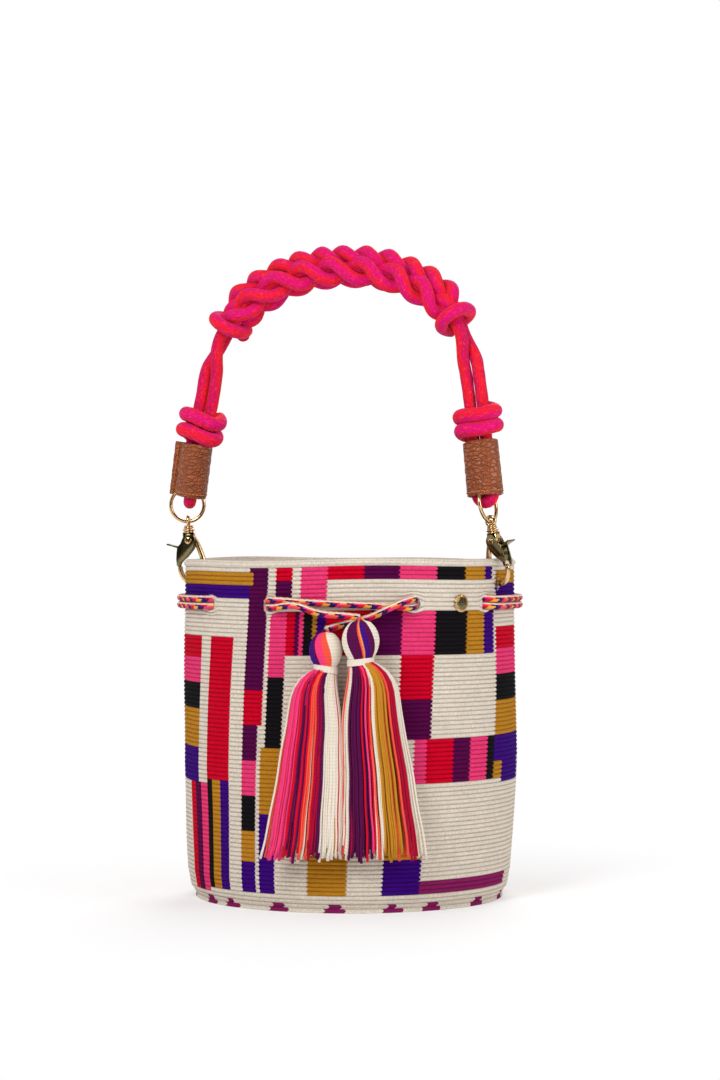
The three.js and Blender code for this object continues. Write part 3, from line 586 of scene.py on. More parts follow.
HOLES = [(a, CORD_HEIGHT, 4.3, 4.9) for a in EYELETS] + [(a, HOOK_HEIGHT, 3.9, 3.9) for a in (-100, 62)]


def block_colour(degrees, row):
    for turn in (0, -360, 360):
        for low, high, bottom, top, name in BLOCKS:
            if low <= degrees + turn < high and bottom <= row < top:
                return COLOURS.index(name)
    if row < 4:
        for middle in TRIANGLES:
            if abs((degrees - middle + 180) % 360 - 180) < (3.8 - 1.7 * row if row < 1.9 else 0):
                return COLOURS.index("magenta")
    return 0


def rim_height(angle):
    return 1.1 * np.sin(2 * angle + 0.6) * 0.6 + 0.5 * np.sin(5 * angle + 1) - 0.7


def sag(angle, z):
    """Long soft waves of the wall, in millimetres of radius."""
    return 0.45 * np.sin(3 * angle + 0.03 * z) + 0.3 * np.sin(7 * angle - 0.05 * z + 1.4)


def opened(angle, z):
    """Spreads the stitches round each eyelet and hook hole."""
    for degrees, height, wide, tall in HOLES:
        across = ((angle - math.radians(degrees) + math.pi) % (2 * math.pi) - math.pi) * 114
        up = z - height
        size = np.sqrt((across / wide) ** 2 + (up / tall) ** 2) + 1e-9
        reach = 1.9
        pushed = np.where(size < reach, 0.8 + size * (reach - 0.8) / reach, size)
        angle = angle + across * (pushed / size - 1) / 114
        z = z + up * (pushed / size - 1)
    return angle, z


def wall_sheet(outside):
    steps = 4 if outside else 2
    rows = ROUNDS * steps + 1
    v = np.arange(rows) / steps
    u = np.arange(STITCHES)
    vv, uu = np.meshgrid(v, u, indexing="ij")
    part = vv % 1
    left = 0.5 + 0.5 * np.cos(np.radians(uu * 1.5 + 40))
    scallop = (1 - (2 * part - 1) ** 2) * (0.25 + 0.3 * left)
    z = vv / ROUNDS * WALL_TOP
    degrees = (uu + scallop) * 1.5 - DRIFT * (ROUNDS - vv)
    angle = np.radians(degrees)
    angle, z = opened(angle, z)
    radius = np.interp(z, *zip(*(PROFILE if outside else INSIDE)))
    ridge = 0.85 * (np.sin(math.pi * part) ** 0.7 - 0.5) + 0.1 * wave(uu * 1.9, vv * 2.3)
    radius = radius + (ridge if outside else -0.6 * ridge) + sag(angle, z)
    z = z + rim_height(angle) * smoothstep(z, 120, 234)
    return np.stack([radius * np.sin(angle), -radius * np.cos(angle), z], -1), uu, vv


bag_materials = [CROCHET[n] for n in COLOURS]


def in_hole(degrees, z):
    for a, height, wide, tall in HOLES:
        across = math.radians((degrees - a + 180) % 360 - 180) * 114
        if (across / wide) ** 2 + ((z - height) / tall) ** 2 < 0.16:
            return True
    return False


def sheet_piece(name, outside):
    points, uu, vv = wall_sheet(outside)
    rows = points.shape[0]
    faces, corners = grid(rows, STITCHES)
    if not outside:
        faces = faces[:, ::-1]
        corners = corners[:, ::-1]
    steps = 4 if outside else 2
    corners[..., 1] /= steps
    keep, mats = [], []
    for k in range(len(faces)):
        row, col = divmod(k, STITCHES)
        middle = (row + 0.5) / steps
        degrees = (col + 0.75) * 1.5
        if in_hole(degrees - DRIFT * (ROUNDS - middle), middle / ROUNDS * WALL_TOP):
            continue
        keep.append(k)
        mats.append(block_colour(degrees if degrees < 180 else degrees - 360, int(middle)))
    return piece(name, points.reshape(-1, 3), faces[keep], bag_materials, "bag",
                 mats, corners[keep])


crochet_wall = sheet_piece("crochet_wall", True)
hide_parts("bag_body")
crochet_inside = sheet_piece("crochet_inside", False)

# The rim: two thick rounds that roll over the edge, and the flat base in rounds
details = Soup()
angle = np.arange(240) / 240 * 2 * math.pi
top = WALL_TOP + rim_height(angle)
for radius, lift, size in ((114.7, -0.6, 1.5), (113.5, 0.5, 1.7), (112.4, -0.8, 1.5)):
    r = radius + sag(angle, top)
    ring = np.stack([r * np.sin(angle), -r * np.cos(angle), top + lift], -1)
    verts, faces, uv = tube(ring, size, 8, closed=True, reference=UP)
    uv[..., 1] /= 3.0
    details.add(verts, faces, uv[..., ::-1])
for low, side in ((0.0, 1), (14.0, -1)):
    rows = np.linspace(0, 100 if side > 0 else 107, 34 * 3)
    part = (rows / 3.03) % 1
    lift = 0.35 + 0.35 * np.cos(2 * math.pi * part)
    edge = 1.2 * smoothstep(rows, 80, 107) if side < 0 else 0
    z = lift if side > 0 else 4.6 + 9.4 * (rows / 107) ** 6 - lift + edge
    points = np.stack([rows[:, None] * np.sin(angle), -rows[:, None] * np.cos(angle),
                       z[:, None] * np.ones(240)], -1)
    faces, corners = grid(len(rows), 240)
    corners[..., 1] /= 3
    if side > 0:
        faces = faces[:, ::-1]
        corners = corners[:, ::-1]
    details.add(points.reshape(-1, 3), faces, corners)
for degrees, height, wide, tall in HOLES:
    turn = np.arange(28) / 28 * 2 * math.pi
    a = math.radians(degrees) + wide * 0.98 * np.cos(turn) / 114
    z = height + tall * 0.98 * np.sin(turn)
    z = z + rim_height(a) * smoothstep(z, 120, 234)
    for r, size in ((113.5, 0.8), (112.8, 0.75)):
        ring = np.stack([r * np.sin(a), -r * np.cos(a), z], -1)
        outside = np.array((math.sin(a[0]), -math.cos(a[0]), 0))
        verts, faces, uv = tube(ring, size, 8, closed=True, reference=outside)
        uv[..., 1] /= 3
        details.add(verts, faces, uv[..., ::-1])
crochet_edges = details.piece("crochet_edges", [CROCHET["beige"]], "bag", "crochet")


# Tassels: yarns from the neck down, a head wound with yarns, and a bound neck

YARNS = {
    "cream": CREAM, "red": RED, "pink": PINK, "plum": PLUM, "coral": CORAL, "gold": GOLD,
    "orange": ORANGE, "violet": VIOLET, "crimson": linear((176, 0, 48)), "lime": linear((214, 206, 120)),
}
yarn_names = list(YARNS)
yarn_materials = [yarn_material("yarn_" + n, YARNS[n]) for n in yarn_names]
SKIRTS = {
    # Up to this share of the width, from left to right, the yarns have this colour
    "left": [(0.03, "coral"), (0.20, "pink"), (0.25, "red"), (0.33, "plum"), (0.36, "red"), (0.40, "cream"),
             (0.46, "red"), (0.54, "coral"), (0.60, "crimson"), (0.68, "plum"), (1.01, "cream")],
    "right": [(0.05, "coral"), (0.08, "cream"), (0.12, "crimson"), (0.36, "plum"), (0.50, "red"),
              (0.56, "cream"), (0.80, "gold"), (0.86, "coral"), (0.91, "crimson"), (0.95, "lime"),
              (1.01, "cream")],
}
HEADS = {
    "left": [(0.10, "violet"), (0.20, "plum"), (0.42, "pink"), (0.64, "coral"), (1.01, "cream")],
    "right": [(0.14, "cream"), (0.44, "plum"), (0.50, "coral"), (0.58, "orange"), (0.70, "violet"),
              (0.90, "plum"), (1.01, "cream")],
}


def picked(shares, share):
    for limit, name in shares:
        if share <= limit:
            return yarn_names.index(name)
    return 0


def hang_skirt(yarns, t):
    """Yarns that hang from the neck and spread, ragged at their ends."""
    middle, side, head, neck, neck_z = t["middle"], t["side"], t["head"], t["neck"], t["neck_z"]
    top_z, stand_off, length, spread = t["top_z"], t["stand_off"], t["length"], t["spread"]
    count = 170
    drop = np.r_[0, 2, 5, 9, 14, 21, 30, np.linspace(42, length + neck_z, 9)]
    for i in range(count):
        share = math.sqrt((i + 0.5) / count) if i % 3 == 0 else 1 - 0.10 * abs(wave(i * 1.3))
        turn = i * 2.39996
        across, back = share * math.cos(turn), share * math.sin(turn)
        loose = 0.9 + 0.12 * wave(i * 0.7)
        ragged = 16 * (0.5 + 0.5 * wave(i * 2.3, i * 0.37)) ** 1.5
        full = length + neck_z - 1.5 - ragged - (2 if back > 0 else 0)
        d = drop / drop[-1] * full
        wide = neck + (spread - neck) * (0.44 * (1 - np.exp(-d / 9)) + 0.56 * d / (length + neck_z)) * loose
        deep = neck + (7.6 - neck) * smoothstep(d, 0, 70) + 1.6 * np.exp(-((d - 9) / 9) ** 2)
        centre = side * (wide - neck - (head - neck) * smoothstep(d, 0, 40))
        settle = smoothstep(d, 0, 75) * (stand_off - 9.8)
        stray = 0.7 * smoothstep(d, 20, 60) + 2.6 * smoothstep(d, 85, 140)
        x = middle[0] + centre + wide * across + stray * wave(i * 3.1, d * 0.03)
        y = middle[1] + settle + deep * back + 0.5 * stray * wave(i * 1.9, d * 0.04 + 2)
        z = top_z + neck_z - d
        line = spaced(np.stack([x, np.minimum(y, -117.9), z], -1), 6.5)
        colour = picked(SKIRTS[t["name"]], 0.5 + 0.5 * across + 0.05 * wave(i * 5.3))
        if (back > -0.15 and i % 4 == 0) or i % 11 == 5:
            colour = (colour + i) % 6
        radius = 0.74 * np.ones(len(line))
        radius[-1] = 0.95
        yarns.tube(line, radius, 6, colour)


def wind_head(yarns, t):
    """Yarns wound from the top of the head to the neck, over a plain core."""
    middle, head, top_z = t["middle"], t["head"], t["top_z"]
    count = int(2 * math.pi * head / 1.25)
    profile = [(1.2, 0.2)] + [(a * head, -b * head) for a, b in (
        (0.5, 0.09), (0.84, 0.5), (0.97, 1.05), (0.86, 1.6), (0.66, 1.98), (0.58, 2.3))]
    r, z = np.array(profile).T
    for i in range(count):
        turn = 2 * math.pi * (i + 0.2 * wave(i * 1.7)) / count - 0.28 * (z / head + 1.1)
        line = [middle[0] + r * np.cos(turn), middle[1] + r * np.sin(turn), top_z + z]
        line = spaced(np.stack(line, -1), 1.6)
        place = math.cos(2 * math.pi * i / count)
        colour = picked(HEADS[t["name"]], 0.5 + 0.5 * place)
        yarns.tube(line, 0.85, 6, colour)
    core = [(0.1, 0)] + [(a * 0.9, b) for a, b in profile] + [(0.1, -2.4 * head)]
    yarns.turned(core, 20, Matrix.Translation(middle), picked(HEADS[t["name"]], 0.3), flip=True)


def tie_loops(yarns, t):
    """Small loops on top of the head, where the drawstring's end goes in."""
    middle, side = t["middle"], t["side"]
    for k, colour in enumerate(("coral", "plum") if side < 0 else ("orange", "violet", "coral")):
        bend = np.linspace(0, math.pi, 9)
        yaw = 0.7 * k - 0.5
        loop = np.stack([2.6 * np.cos(bend) * math.cos(yaw), 2.6 * np.cos(bend) * math.sin(yaw) - 0.6,
                         2.8 * np.sin(bend) - 0.6], -1)
        yarns.tube(middle + loop, 0.85, 6, yarn_names.index(colour))


def bind_neck(t):
    """Thread wound round the neck."""
    middle, side, neck = t["middle"], t["side"], t["neck"]
    top_z, neck_z = t["top_z"], t["neck_z"]
    binding = Soup()
    steps = np.arange(0, 4.3, 0.04)
    turn = steps * 2 * math.pi
    tilt = 0.16 * side * np.cos(turn) * neck
    line = np.stack([middle[0] + (neck + 1.0) * np.cos(turn), middle[1] + (neck + 1.0) * np.sin(turn),
                     top_z + neck_z + 2.0 - steps * 1.0 + tilt], -1)
    binding.tube(line, 0.72, 8)
    made = binding.piece(t["name"] + "_neck_binding", [yarn_materials[0]],
                         t["name"] + "_tassel_hang", "binding_thread")
    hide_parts(t["name"] + "_tassel_binding")


def tassel(name, side, head, top_z, stand_off, length, spread):
    middle = np.array((-4.7 + side * (head + 0.3), -(115.5 + stand_off), top_z))
    t = dict(name=name, side=side, head=head, top_z=top_z, stand_off=stand_off, length=length,
             spread=spread, middle=middle, neck=head * 0.62, neck_z=-2.2 * head)
    yarns = Soup()
    hang_skirt(yarns, t)
    wind_head(yarns, t)
    tie_loops(yarns, t)
    made = yarns.piece(name + "_tassel_yarns", yarn_materials, name + "_tassel_hang", "tassel_yarn")
    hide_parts(name + "_tassel")
    bind_neck(t)


tassel("left", side=-1, head=10.4, top_z=186, stand_off=12.2, length=152, spread=26)
tassel("right", side=1, head=11.8, top_z=194, stand_off=18.6, length=160, spread=28)


# Handle: the frame of its ropes, as in the CAD model. It stands in an upright plane.

def rope_material(name, first, second):
    """Soft rope in two tones that wander along it, with painted shade in dark flecks and orange streaks that
    are partly its own orange fibres and partly painted highlight.
    """
    material, tree, shader = new_material(name, Roughness=0.88, Specular_IOR_Level=0.2,
                                          Sheen_Weight=0.05, Sheen_Roughness=0.45)
    u, v, place = surface(tree)
    slow = noise(tree, place, 70, 2.0, 0.6)
    fine = noise(tree, place, 900, 3.0, 0.7)
    streak = node(tree, "CombineXYZ", {0: calc(tree, "MULTIPLY", u, 26.0),
                                       1: calc(tree, "MULTIPLY", v, 0.35)})
    fibre = noise(tree, streak.outputs[0], 1.0, 3.0, 0.6)
    turn = calc(tree, "ADD", calc(tree, "ADD", u, calc(tree, "MULTIPLY", slow, 0.3)),
                calc(tree, "MULTIPLY", v, 0.0025))
    tone = calc(tree, "SINE", calc(tree, "MULTIPLY", turn, 4 * math.pi))
    tone = calc(tree, "ADD", tone, calc(tree, "MULTIPLY", calc(tree, "SUBTRACT", fibre, 0.5), 3.0))
    tint = blend_colour(tree, ramp(tree, tone, -0.7, 1.0), first, second)
    # Painted shade: dark flecks from fine noise, at 45 % of the first tone, stand in for the shade between
    # the fibres.
    tint = blend_colour(tree, ramp(tree, fine, 0.35, 0.75, 0.0, 0.6), tint, shade(first, 0.45))
    # Orange streaks along the fibres: partly the rope's own orange fibres, partly painted highlight.
    tint = blend_colour(tree, ramp(tree, fibre, 0.52, 0.74, 0.0, 0.5), tint, linear((255, 84, 50)))
    height = calc(tree, "ADD", calc(tree, "MULTIPLY", fine, 0.7), calc(tree, "MULTIPLY", fibre, 0.8))
    finish_material(tree, shader, tint, height, 0.0007, 0.7)
    return material


ROPE_MAGENTA = linear((222, 0, 108))
ROPE_RED = linear((236, 20, 40))
core_material = rope_material("rope_core", linear((206, 0, 84)), ROPE_RED)
knot_material = rope_material("rope_knots", ROPE_MAGENTA, ROPE_RED)

# Angles in degrees, lengths in millimetres. The values up to flange are those of the CAD model.
LEFT = dict(sign=-1, hole=-100, yaw=170, crossing=0, ring_yaw=-90, lean=3.3, shift=3.5,
            inner=(9.3, 11), flange=5.4, tilt=-16, end_tilt=-0.42)
RIGHT = dict(sign=1, hole=62, yaw=-47, crossing=-4.8, ring_yaw=-30, lean=11, shift=0,
             inner=(11, 8.4), flange=0, tilt=-5, end_tilt=-0.5)
PIVOT_HEIGHT = 29
RING_LIFT = 54.35
RING_RADIUS = 11.75
hole_points = [np.array(wall_point(s["hole"], 0, 0)) for s in (LEFT, RIGHT)]
chord = hole_points[1] - hole_points[0]
CHORD_ANGLE = math.atan2(chord[1], chord[0])
HALF_CHORD = float(np.linalg.norm(chord)) / 2
TO_BAG = Matrix.Translation((hole_points[0] + hole_points[1]) / 2) @ Matrix.Rotation(CHORD_ANGLE, 4, "Z")


def in_bag(points):
    matrix = np.array(TO_BAG)
    return np.asarray(points) @ matrix[:3, :3].T + matrix[:3, 3]


for s in (LEFT, RIGHT):
    s["turn"] = math.radians(s["yaw"]) - CHORD_ANGLE
    s["ring_turn"] = math.radians(s["ring_yaw"]) - CHORD_ANGLE
    a = -math.radians(s["lean"])
    s["slope"] = a
    s["up"] = np.array((math.sin(a), 0, math.cos(a)))
    foot = np.array((s["sign"] * HALF_CHORD, 0, HOOK_HEIGHT))
    foot[:2] -= s["crossing"] * np.array((math.cos(s["turn"]), math.sin(s["turn"])))
    s["foot"] = foot
    s["ring_centre"] = foot + s["up"] * RING_LIFT
    x, y = -math.sin(s["ring_turn"]), math.cos(s["ring_turn"])
    sideways = np.array((x * math.cos(a), y, -x * math.sin(a)))
    rise = math.sqrt(RING_RADIUS ** 2 - s["shift"] ** 2)
    s["ring_top"] = s["ring_centre"] + s["up"] * rise + sideways * s["shift"]

LEG_AND_ARCH = [(-107.5, 317), (-101, 345), (-95, 374), (-83, 399), (-59, 420), (-31, 432), (1, 435.5),
                (32, 432), (60, 420), (82, 400), (92, 374), (97, 345), (100, 317)]
arch = spaced([LEFT["ring_top"], *[(x, 0, z) for x, z in LEG_AND_ARCH], RIGHT["ring_top"]], 0.5)
arch_at = np.r_[0, np.cumsum(np.linalg.norm(np.diff(arch, axis=0), axis=1))]
ARCH = float(arch_at[-1])
arch_tangent = along_line(arch)
KNOT_START = (ARCH - 16.4 * 11) / 2


def frame_at(distance):
    d = np.clip(distance, 0, ARCH)
    centre = np.array([np.interp(d, arch_at, arch[:, k]) for k in range(3)])
    along = unit([np.interp(d, arch_at, arch_tangent[:, k]) for k in range(3)])
    return centre, along, np.array((-along[2], 0, along[0]))


FRONT = np.array((0.0, -1.0, 0.0))


def pair_at(distance):
    centre, along, out = frame_at(distance)
    end = min(distance, ARCH - distance)
    ring = math.pi + LEFT["ring_turn"] if distance < ARCH / 2 else math.pi - RIGHT["ring_turn"]
    turn = ring + (math.pi - ring) * smoothstep(end, 4, 30)
    turn = turn + (math.pi / 2 - turn) * smoothstep(end, KNOT_START - 46, KNOT_START - 16)
    half = 6.05 + (4.5 - 6.05) * smoothstep(end, 2, 18)
    return centre, along, out * math.cos(turn) + FRONT * math.sin(turn), half


def core_line():
    points = []

    def strand(distance, sign):
        centre, _, across, half = pair_at(distance)
        points.append(centre + across * sign * half)

    def bend(distance, down, sign):
        centre, _, across, _ = pair_at(distance)
        for k in range(9):
            a = math.pi * k / 8
            points.append(centre + 3.8 * down + 6.05 * (sign * math.cos(a) * across + math.sin(a) * down))

    steps = 64
    for k in range(3, steps + 1):
        strand(ARCH * k / steps, 1)
    bend(ARCH, frame_at(ARCH)[1], 1)
    for k in range(steps, -1, -1):
        strand(ARCH * k / steps, -1)
    bend(0, -frame_at(0)[1], -1)
    for k in range(0, 4):
        strand(ARCH * k / steps, 1)
    return points


def rope(name, line, radius, material, nodes, sides=18):
    soup = Soup()
    soup.tube(in_bag(line), radius, sides)
    made = soup.piece(name, [material], "handle", "soft_rope")
    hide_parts(*nodes)
    return made


line = spaced(core_line(), 2.0)
swell = 4.28 + 0.12 * wave(np.arange(len(line)) * 0.23)
rope("core_rope_soft", line, swell, core_material, ["core_rope"])


def rounded_off(line, times):
    """Takes the kinks out of a line."""
    for _ in range(times):
        line[1:-1] = 0.25 * line[:-2] + 0.5 * line[1:-1] + 0.25 * line[2:]
    return line


def knot_line():
    """Pairs of strands that twist round each other, in front of, behind and above the core."""
    length = ARCH - 2 * KNOT_START
    points = []

    def place(across, over, distance):
        centre, _, out = frame_at(KNOT_START + distance)
        return centre + FRONT * across + out * over

    def pair(across, over, period, wide, deep, phase):
        for sign in (1, -1):
            steps = np.arange(-4, length + 4.1, 4)
            for s in steps if sign > 0 else steps[::-1]:
                turn = 2 * math.pi * s / period + phase + 0.18 * wave(s * 0.05)
                up, out = sign * wide * math.cos(turn), sign * deep * math.sin(turn)
                end = smoothstep(min(s, length - s), -4, 12)
                points.append(place(across * (0.5 + 0.5 * end) + out * end,
                                    over * end + up * (0.6 + 0.4 * end), s))

    pair(8.6, -2.0, 45, 6.6, 4.4, 0.6)
    pair(0.5, 8.4, 31, 4.2, 6.0, 0.2)
    pair(-8.6, -2.0, 45, 6.6, 4.4, 2.0)
    return points


line = rounded_off(spaced(knot_line(), 1.8), 6)
swell = 4.45 + 0.16 * wave(np.arange(len(line)) * 0.19)
rope("knotting_rope_soft", line, swell, knot_material, ["knotting_rope"])


def on_rope(points, distance):
    centre, along, across, _ = pair_at(distance)
    other = np.cross(along, across)
    points = np.asarray(points)
    return centre + points[:, :1] * across + points[:, 1:2] * other + points[:, 2:] * along


def stadium(angle, reach, close=4.5):
    x = reach * math.cos(angle)
    return (x + close * math.tanh(x / 1.2), reach * math.sin(angle))


for s, name in ((LEFT, "left"), (RIGHT, "right")):
    first = s["sign"] < 0
    distance = 44.5 if first else ARCH - 45.5
    turns = [math.pi / 2 + 2 * math.pi * k / 24 for k in range(47)]
    slope = math.tan(math.radians(s["tilt"]))
    wrap = []
    for k, a in enumerate(turns):
        x, y = stadium(a, 9.0, 4.1)
        wrap.append((x, y, (11.2 if first else 9.8) * (k / 24 - 1) + x * slope + 0.5 * math.sin(3 * a)))
    line = spaced(on_rope(wrap, distance), 1.8)
    swell = (5.2 if first else 5.0) + 0.15 * wave(np.arange(len(line)) * 0.3)
    rope(name + "_rope_wrap_soft", rounded_off(line, 8), swell, knot_material, [name + "_rope_wrap"])
    distance = KNOT_START - 4 if first else ARCH - KNOT_START + 4
    wrap = []
    for k in range(26):
        a = math.pi * 0.6 + 2 * math.pi * k / 24
        x, y = stadium(a, 10.6, 3.4)
        wrap.append((x, y, s["end_tilt"] * x * 0.3 + 0.15 * (k - 12)))
    line = spaced(on_rope(wrap, distance), 1.8)
    rope(name + "_end_wrap_soft", rounded_off(line, 8), 4.6, knot_material, [name + "_end_wrap"])


# Leather sleeves

leather, tree, shader = new_material("leather", Roughness=0.42, Specular_IOR_Level=0.5)
u, v, place = surface(tree)
stretched = node(tree, "Mapping", {"Vector": place, "Scale": (1.0, 1.0, 1.8)}).outputs[0]
pebble = node(tree, "TexVoronoi", {"Vector": stretched, "Scale": 210.0},
              feature="DISTANCE_TO_EDGE").outputs[0]
fine = noise(tree, place, 1500, 3.0)
cloud = noise(tree, stretched, 110, 4.0, 0.65)
crease = ramp(tree, pebble, 0.0, 0.16)
tint = blend_colour(tree, cloud, linear((116, 50, 16)), linear((170, 88, 38)))
# Painted shade: the creases between the pebbles are darkened towards deep brown.
tint = blend_colour(tree, ramp(tree, pebble, 0.0, 0.1, 0.4, 0.0), tint, linear((66, 28, 12)))
height = calc(tree, "ADD", calc(tree, "MULTIPLY", fine, 0.15), calc(tree, "ADD", crease, cloud))
finish_material(tree, shader, tint, height, 0.0009, 0.8, ramp(tree, crease, 0.0, 1.0, 0.55, 0.3))
thread = yarn_material("stitch_thread", linear((206, 128, 66)), twist=1.6)


def sleeve(s, name):
    first = s["sign"] < 0
    inside, end = (30, 0) if first else (ARCH - 30, ARCH)
    axis = unit(frame_at(inside)[0] - s["ring_top"])
    base = frame_at(end)[0] - axis * 6
    turn = Vector((0, 0, 1)).rotation_difference(Vector(axis)).to_matrix().to_4x4()
    place = TO_BAG @ Matrix.Translation(base) @ turn
    a, b = s["inner"]
    # Rows of the section: how far outside the inner wall, and how high
    rows = [(0.15, 0.3)] + [(1.5, z) for z in (0.9, *range(2, 37, 2), 37.1)]
    rows += [(1.3, 37.7), (0.75, 38.0), (0.2, 37.7)] + [(0.0, z) for z in (37, 20, 1)]
    angle = np.arange(72) / 72 * 2 * math.pi
    points = []
    for more, z in rows:
        soft = 0.22 * wave(angle * 2, np.full(72, z * 0.25)) + 0.12 * np.sin(z * 0.9 + 3 * np.cos(angle))
        soft = soft * min(more, 1)
        lift = 0.8 * np.cos(angle + 0.5) * (z / 38 - 0.5)
        r = 1 + 0.015 * math.cos(z / 38 * math.pi)
        points.append(np.stack([(a * r + more + soft) * np.cos(angle), (b * r + more + soft) * np.sin(angle),
                                z + lift], -1))
    soup = Soup()
    faces, corners = grid(len(rows), 72, closed_rows=True)
    soup.placed(np.array(points).reshape(-1, 3), faces, place, corners)
    if s["flange"]:
        edge = a + 1.5
        for side in (-1, 1):
            leaf = []
            heights = np.linspace(0.2, 37.8, 24)
            for z in heights:
                w = 0.25 * wave(z * 0.4) + 0.25 * math.cos(z / 38 * math.pi)
                for x, y in ((1.4, 2.3), (0, 1.55), (-2.4, 1.4), (-4.7, 1.45), (-5.3, 1.2),
                             (-5.5, 0.75), (-5.3, 0.12), (1.4, 0.1)):
                    leaf.append((-edge + x + w * (x < 0), side * y, z))
            faces, corners = grid(24, 8)
            ends = [list(range(8)), list(range(23 * 8, 24 * 8))[::-1]]
            if side > 0:
                faces = faces[:, ::-1]
            soup.placed(leaf, faces, place, corners)
            soup.placed(leaf, ends, place)
            for z in np.arange(2.2, 37, 2.7):
                line = [(-edge - 2.6, side * y, z + up) for y, up in ((1.62, -1.0), (1.8, 0), (1.62, 1.0))]
                verts, more, uv = capped(*tube(np.array(line), 0.36, 8), 8)
                soup.placed(verts, more, place, uv, 1)
    for k in range(26):
        turn = 2 * math.pi * k / 26
        if s["flange"] and abs(math.cos(turn) + 1) < 0.12:
            continue
        line = []
        for part in (-0.085, 0, 0.085):
            w = turn + part
            proud = 1.62 + 0.14 * (part == 0)
            line.append(((a + proud) * math.cos(w), (b + proud) * math.sin(w), 3.2 - 0.4 * math.cos(w + 0.5)))
        verts, more, uv = capped(*tube(np.array(line), 0.34, 8), 8)
        soup.placed(verts, more, place, uv, 1)
    made = soup.piece(name + "_sleeve_leather", [leather, thread], "handle", "brown_leather")
    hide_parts(name + "_sleeve")


# Metal: rings, swivel eyes, hooks, triggers and screws

def metal(name, colour, rough, worn):
    material, tree, shader = new_material(name, Metallic=1.0, Roughness=rough)
    _, _, place = surface(tree)
    haze = noise(tree, place, 160, 3.0, 0.6)
    scratch = noise(tree, place, 2600, 2.0, 0.6)
    tint = blend_colour(tree, ramp(tree, haze, 0.3, 0.75), colour, worn)
    roughness = ramp(tree, haze, 0.2, 0.8, rough * 0.7, rough * 1.6)
    finish_material(tree, shader, tint, scratch, 0.00004, 0.4, roughness)
    return material


pale_gold = metal("pale_gold", linear((226, 190, 138)), 0.13, linear((200, 160, 108)))
olive_gold = metal("olive_gold", linear((128, 118, 84)), 0.10, linear((104, 94, 66)))
steel = metal("spring_steel", linear((170, 168, 164)), 0.25, linear((140, 138, 134)))
# Painted shade: a near-black material for the screw slots, which are dark bars laid on the head and not cut
# into it.
painted_slot_shade, tree, shader = new_material("painted_slot_shade", Roughness=0.6)
finish_material(tree, shader, blend_colour(tree, noise(tree, node(tree, "TexCoord").outputs["Object"], 800),
                                           (0.02, 0.018, 0.014, 1), (0.05, 0.04, 0.03, 1)))


def torus(radius, wire, segments=72, sides=16):
    turn = np.arange(segments) / segments * 2 * math.pi
    line = np.stack([radius * np.cos(turn), np.zeros(segments), radius * np.sin(turn)], -1)
    return tube(line, wire, sides, closed=True, reference=np.array((0.0, 1.0, 0.0)))


def plate(outline, low, high, bevel=0.3):
    """A flat outline in X and Z with a thickness along Y and rounded edges."""
    p = np.array(outline, dtype=float)
    ahead, behind = np.roll(p, -1, 0) - p, p - np.roll(p, 1, 0)
    along = ahead / np.linalg.norm(ahead, axis=1)[:, None] + behind / np.linalg.norm(behind, axis=1)[:, None]
    along = along / np.linalg.norm(along, axis=1)[:, None]
    inwards = np.stack([-along[:, 1], along[:, 0]], -1)
    area = 0.5 * np.sum(p[:, 0] * np.roll(p[:, 1], -1) - np.roll(p[:, 0], -1) * p[:, 1])
    inwards = inwards * (1 if area > 0 else -1)
    rings = []
    for inset, y in ((1.0, low), (0.3, low + bevel * 0.3), (0.0, low + bevel), (0.0, high - bevel),
                     (0.3, high - bevel * 0.3), (1.0, high)):
        q = p + inwards * bevel * inset
        rings.append(np.stack([q[:, 0], np.full(len(q), y), q[:, 1]], -1))
    count = len(p)
    faces, _ = grid(6, count)
    ends = [list(range(count))[::-1], list(range(5 * count, 6 * count))]
    if area > 0:
        faces = faces[:, ::-1]
    return np.vstack(rings), [list(f) for f in faces] + ends


def arc(radius, start, end, count):
    a = np.radians(np.linspace(start, end, count))
    return [(radius * math.cos(t), radius * math.sin(t)) for t in a]


HOOK_OUTLINE = [(7.5, -17), (7.4, -20.5), (6, -24.5), (3.2, -27.8), (-0.5, -29), (-4.5, -28), (-8, -25),
                (-9.6, -20), (-9.3, -14), (-7.6, -8), (-5.4, -2), (-2.6, 2.5)]
GATE = [(7.6, -18.4), (6.9, -15.6), (4.6, -13.4), (2.1, -11.5), (-0.6, -8.6), (-3.2, -5.6),
        *arc(4.9, 220, 60, 22)[1:], (4.4, 1.4), (5.9, -1.9), (8.3, -4), (9.0, -8), (9.5, -13), (9.2, -17.4)]


def hook_body(name, place):
    hook = Soup()
    line = spaced([(x, 0, z) for x, z in HOOK_OUTLINE], 0.7)
    radius = 1.75 + 0.25 * np.sin(np.linspace(0, math.pi, len(line)))
    radius[:3] = (0.9, 1.4, 1.7)
    hook.placed(*capped(*tube(line, radius, 18), 18)[:2], place)
    hook.placed(*plate([*arc(4.2, 180, 360, 20), (4.2, 6.0), (-4.2, 6.0)], -2.4, 2.4, 0.7), place)
    hook.turned([(0, 5.2), (3.4, 5.3), (4.0, 5.6), (4.0, 6.2), (3.3, 6.5), (3.3, 6.8), (4.3, 7.1),
                 (4.3, 7.8), (3.9, 8.2), (0, 8.2)], 40, place)
    made = hook.piece(name + "_hook_polished", [pale_gold], name + "_snap", "pale_gold")
    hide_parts(name + "_hook")


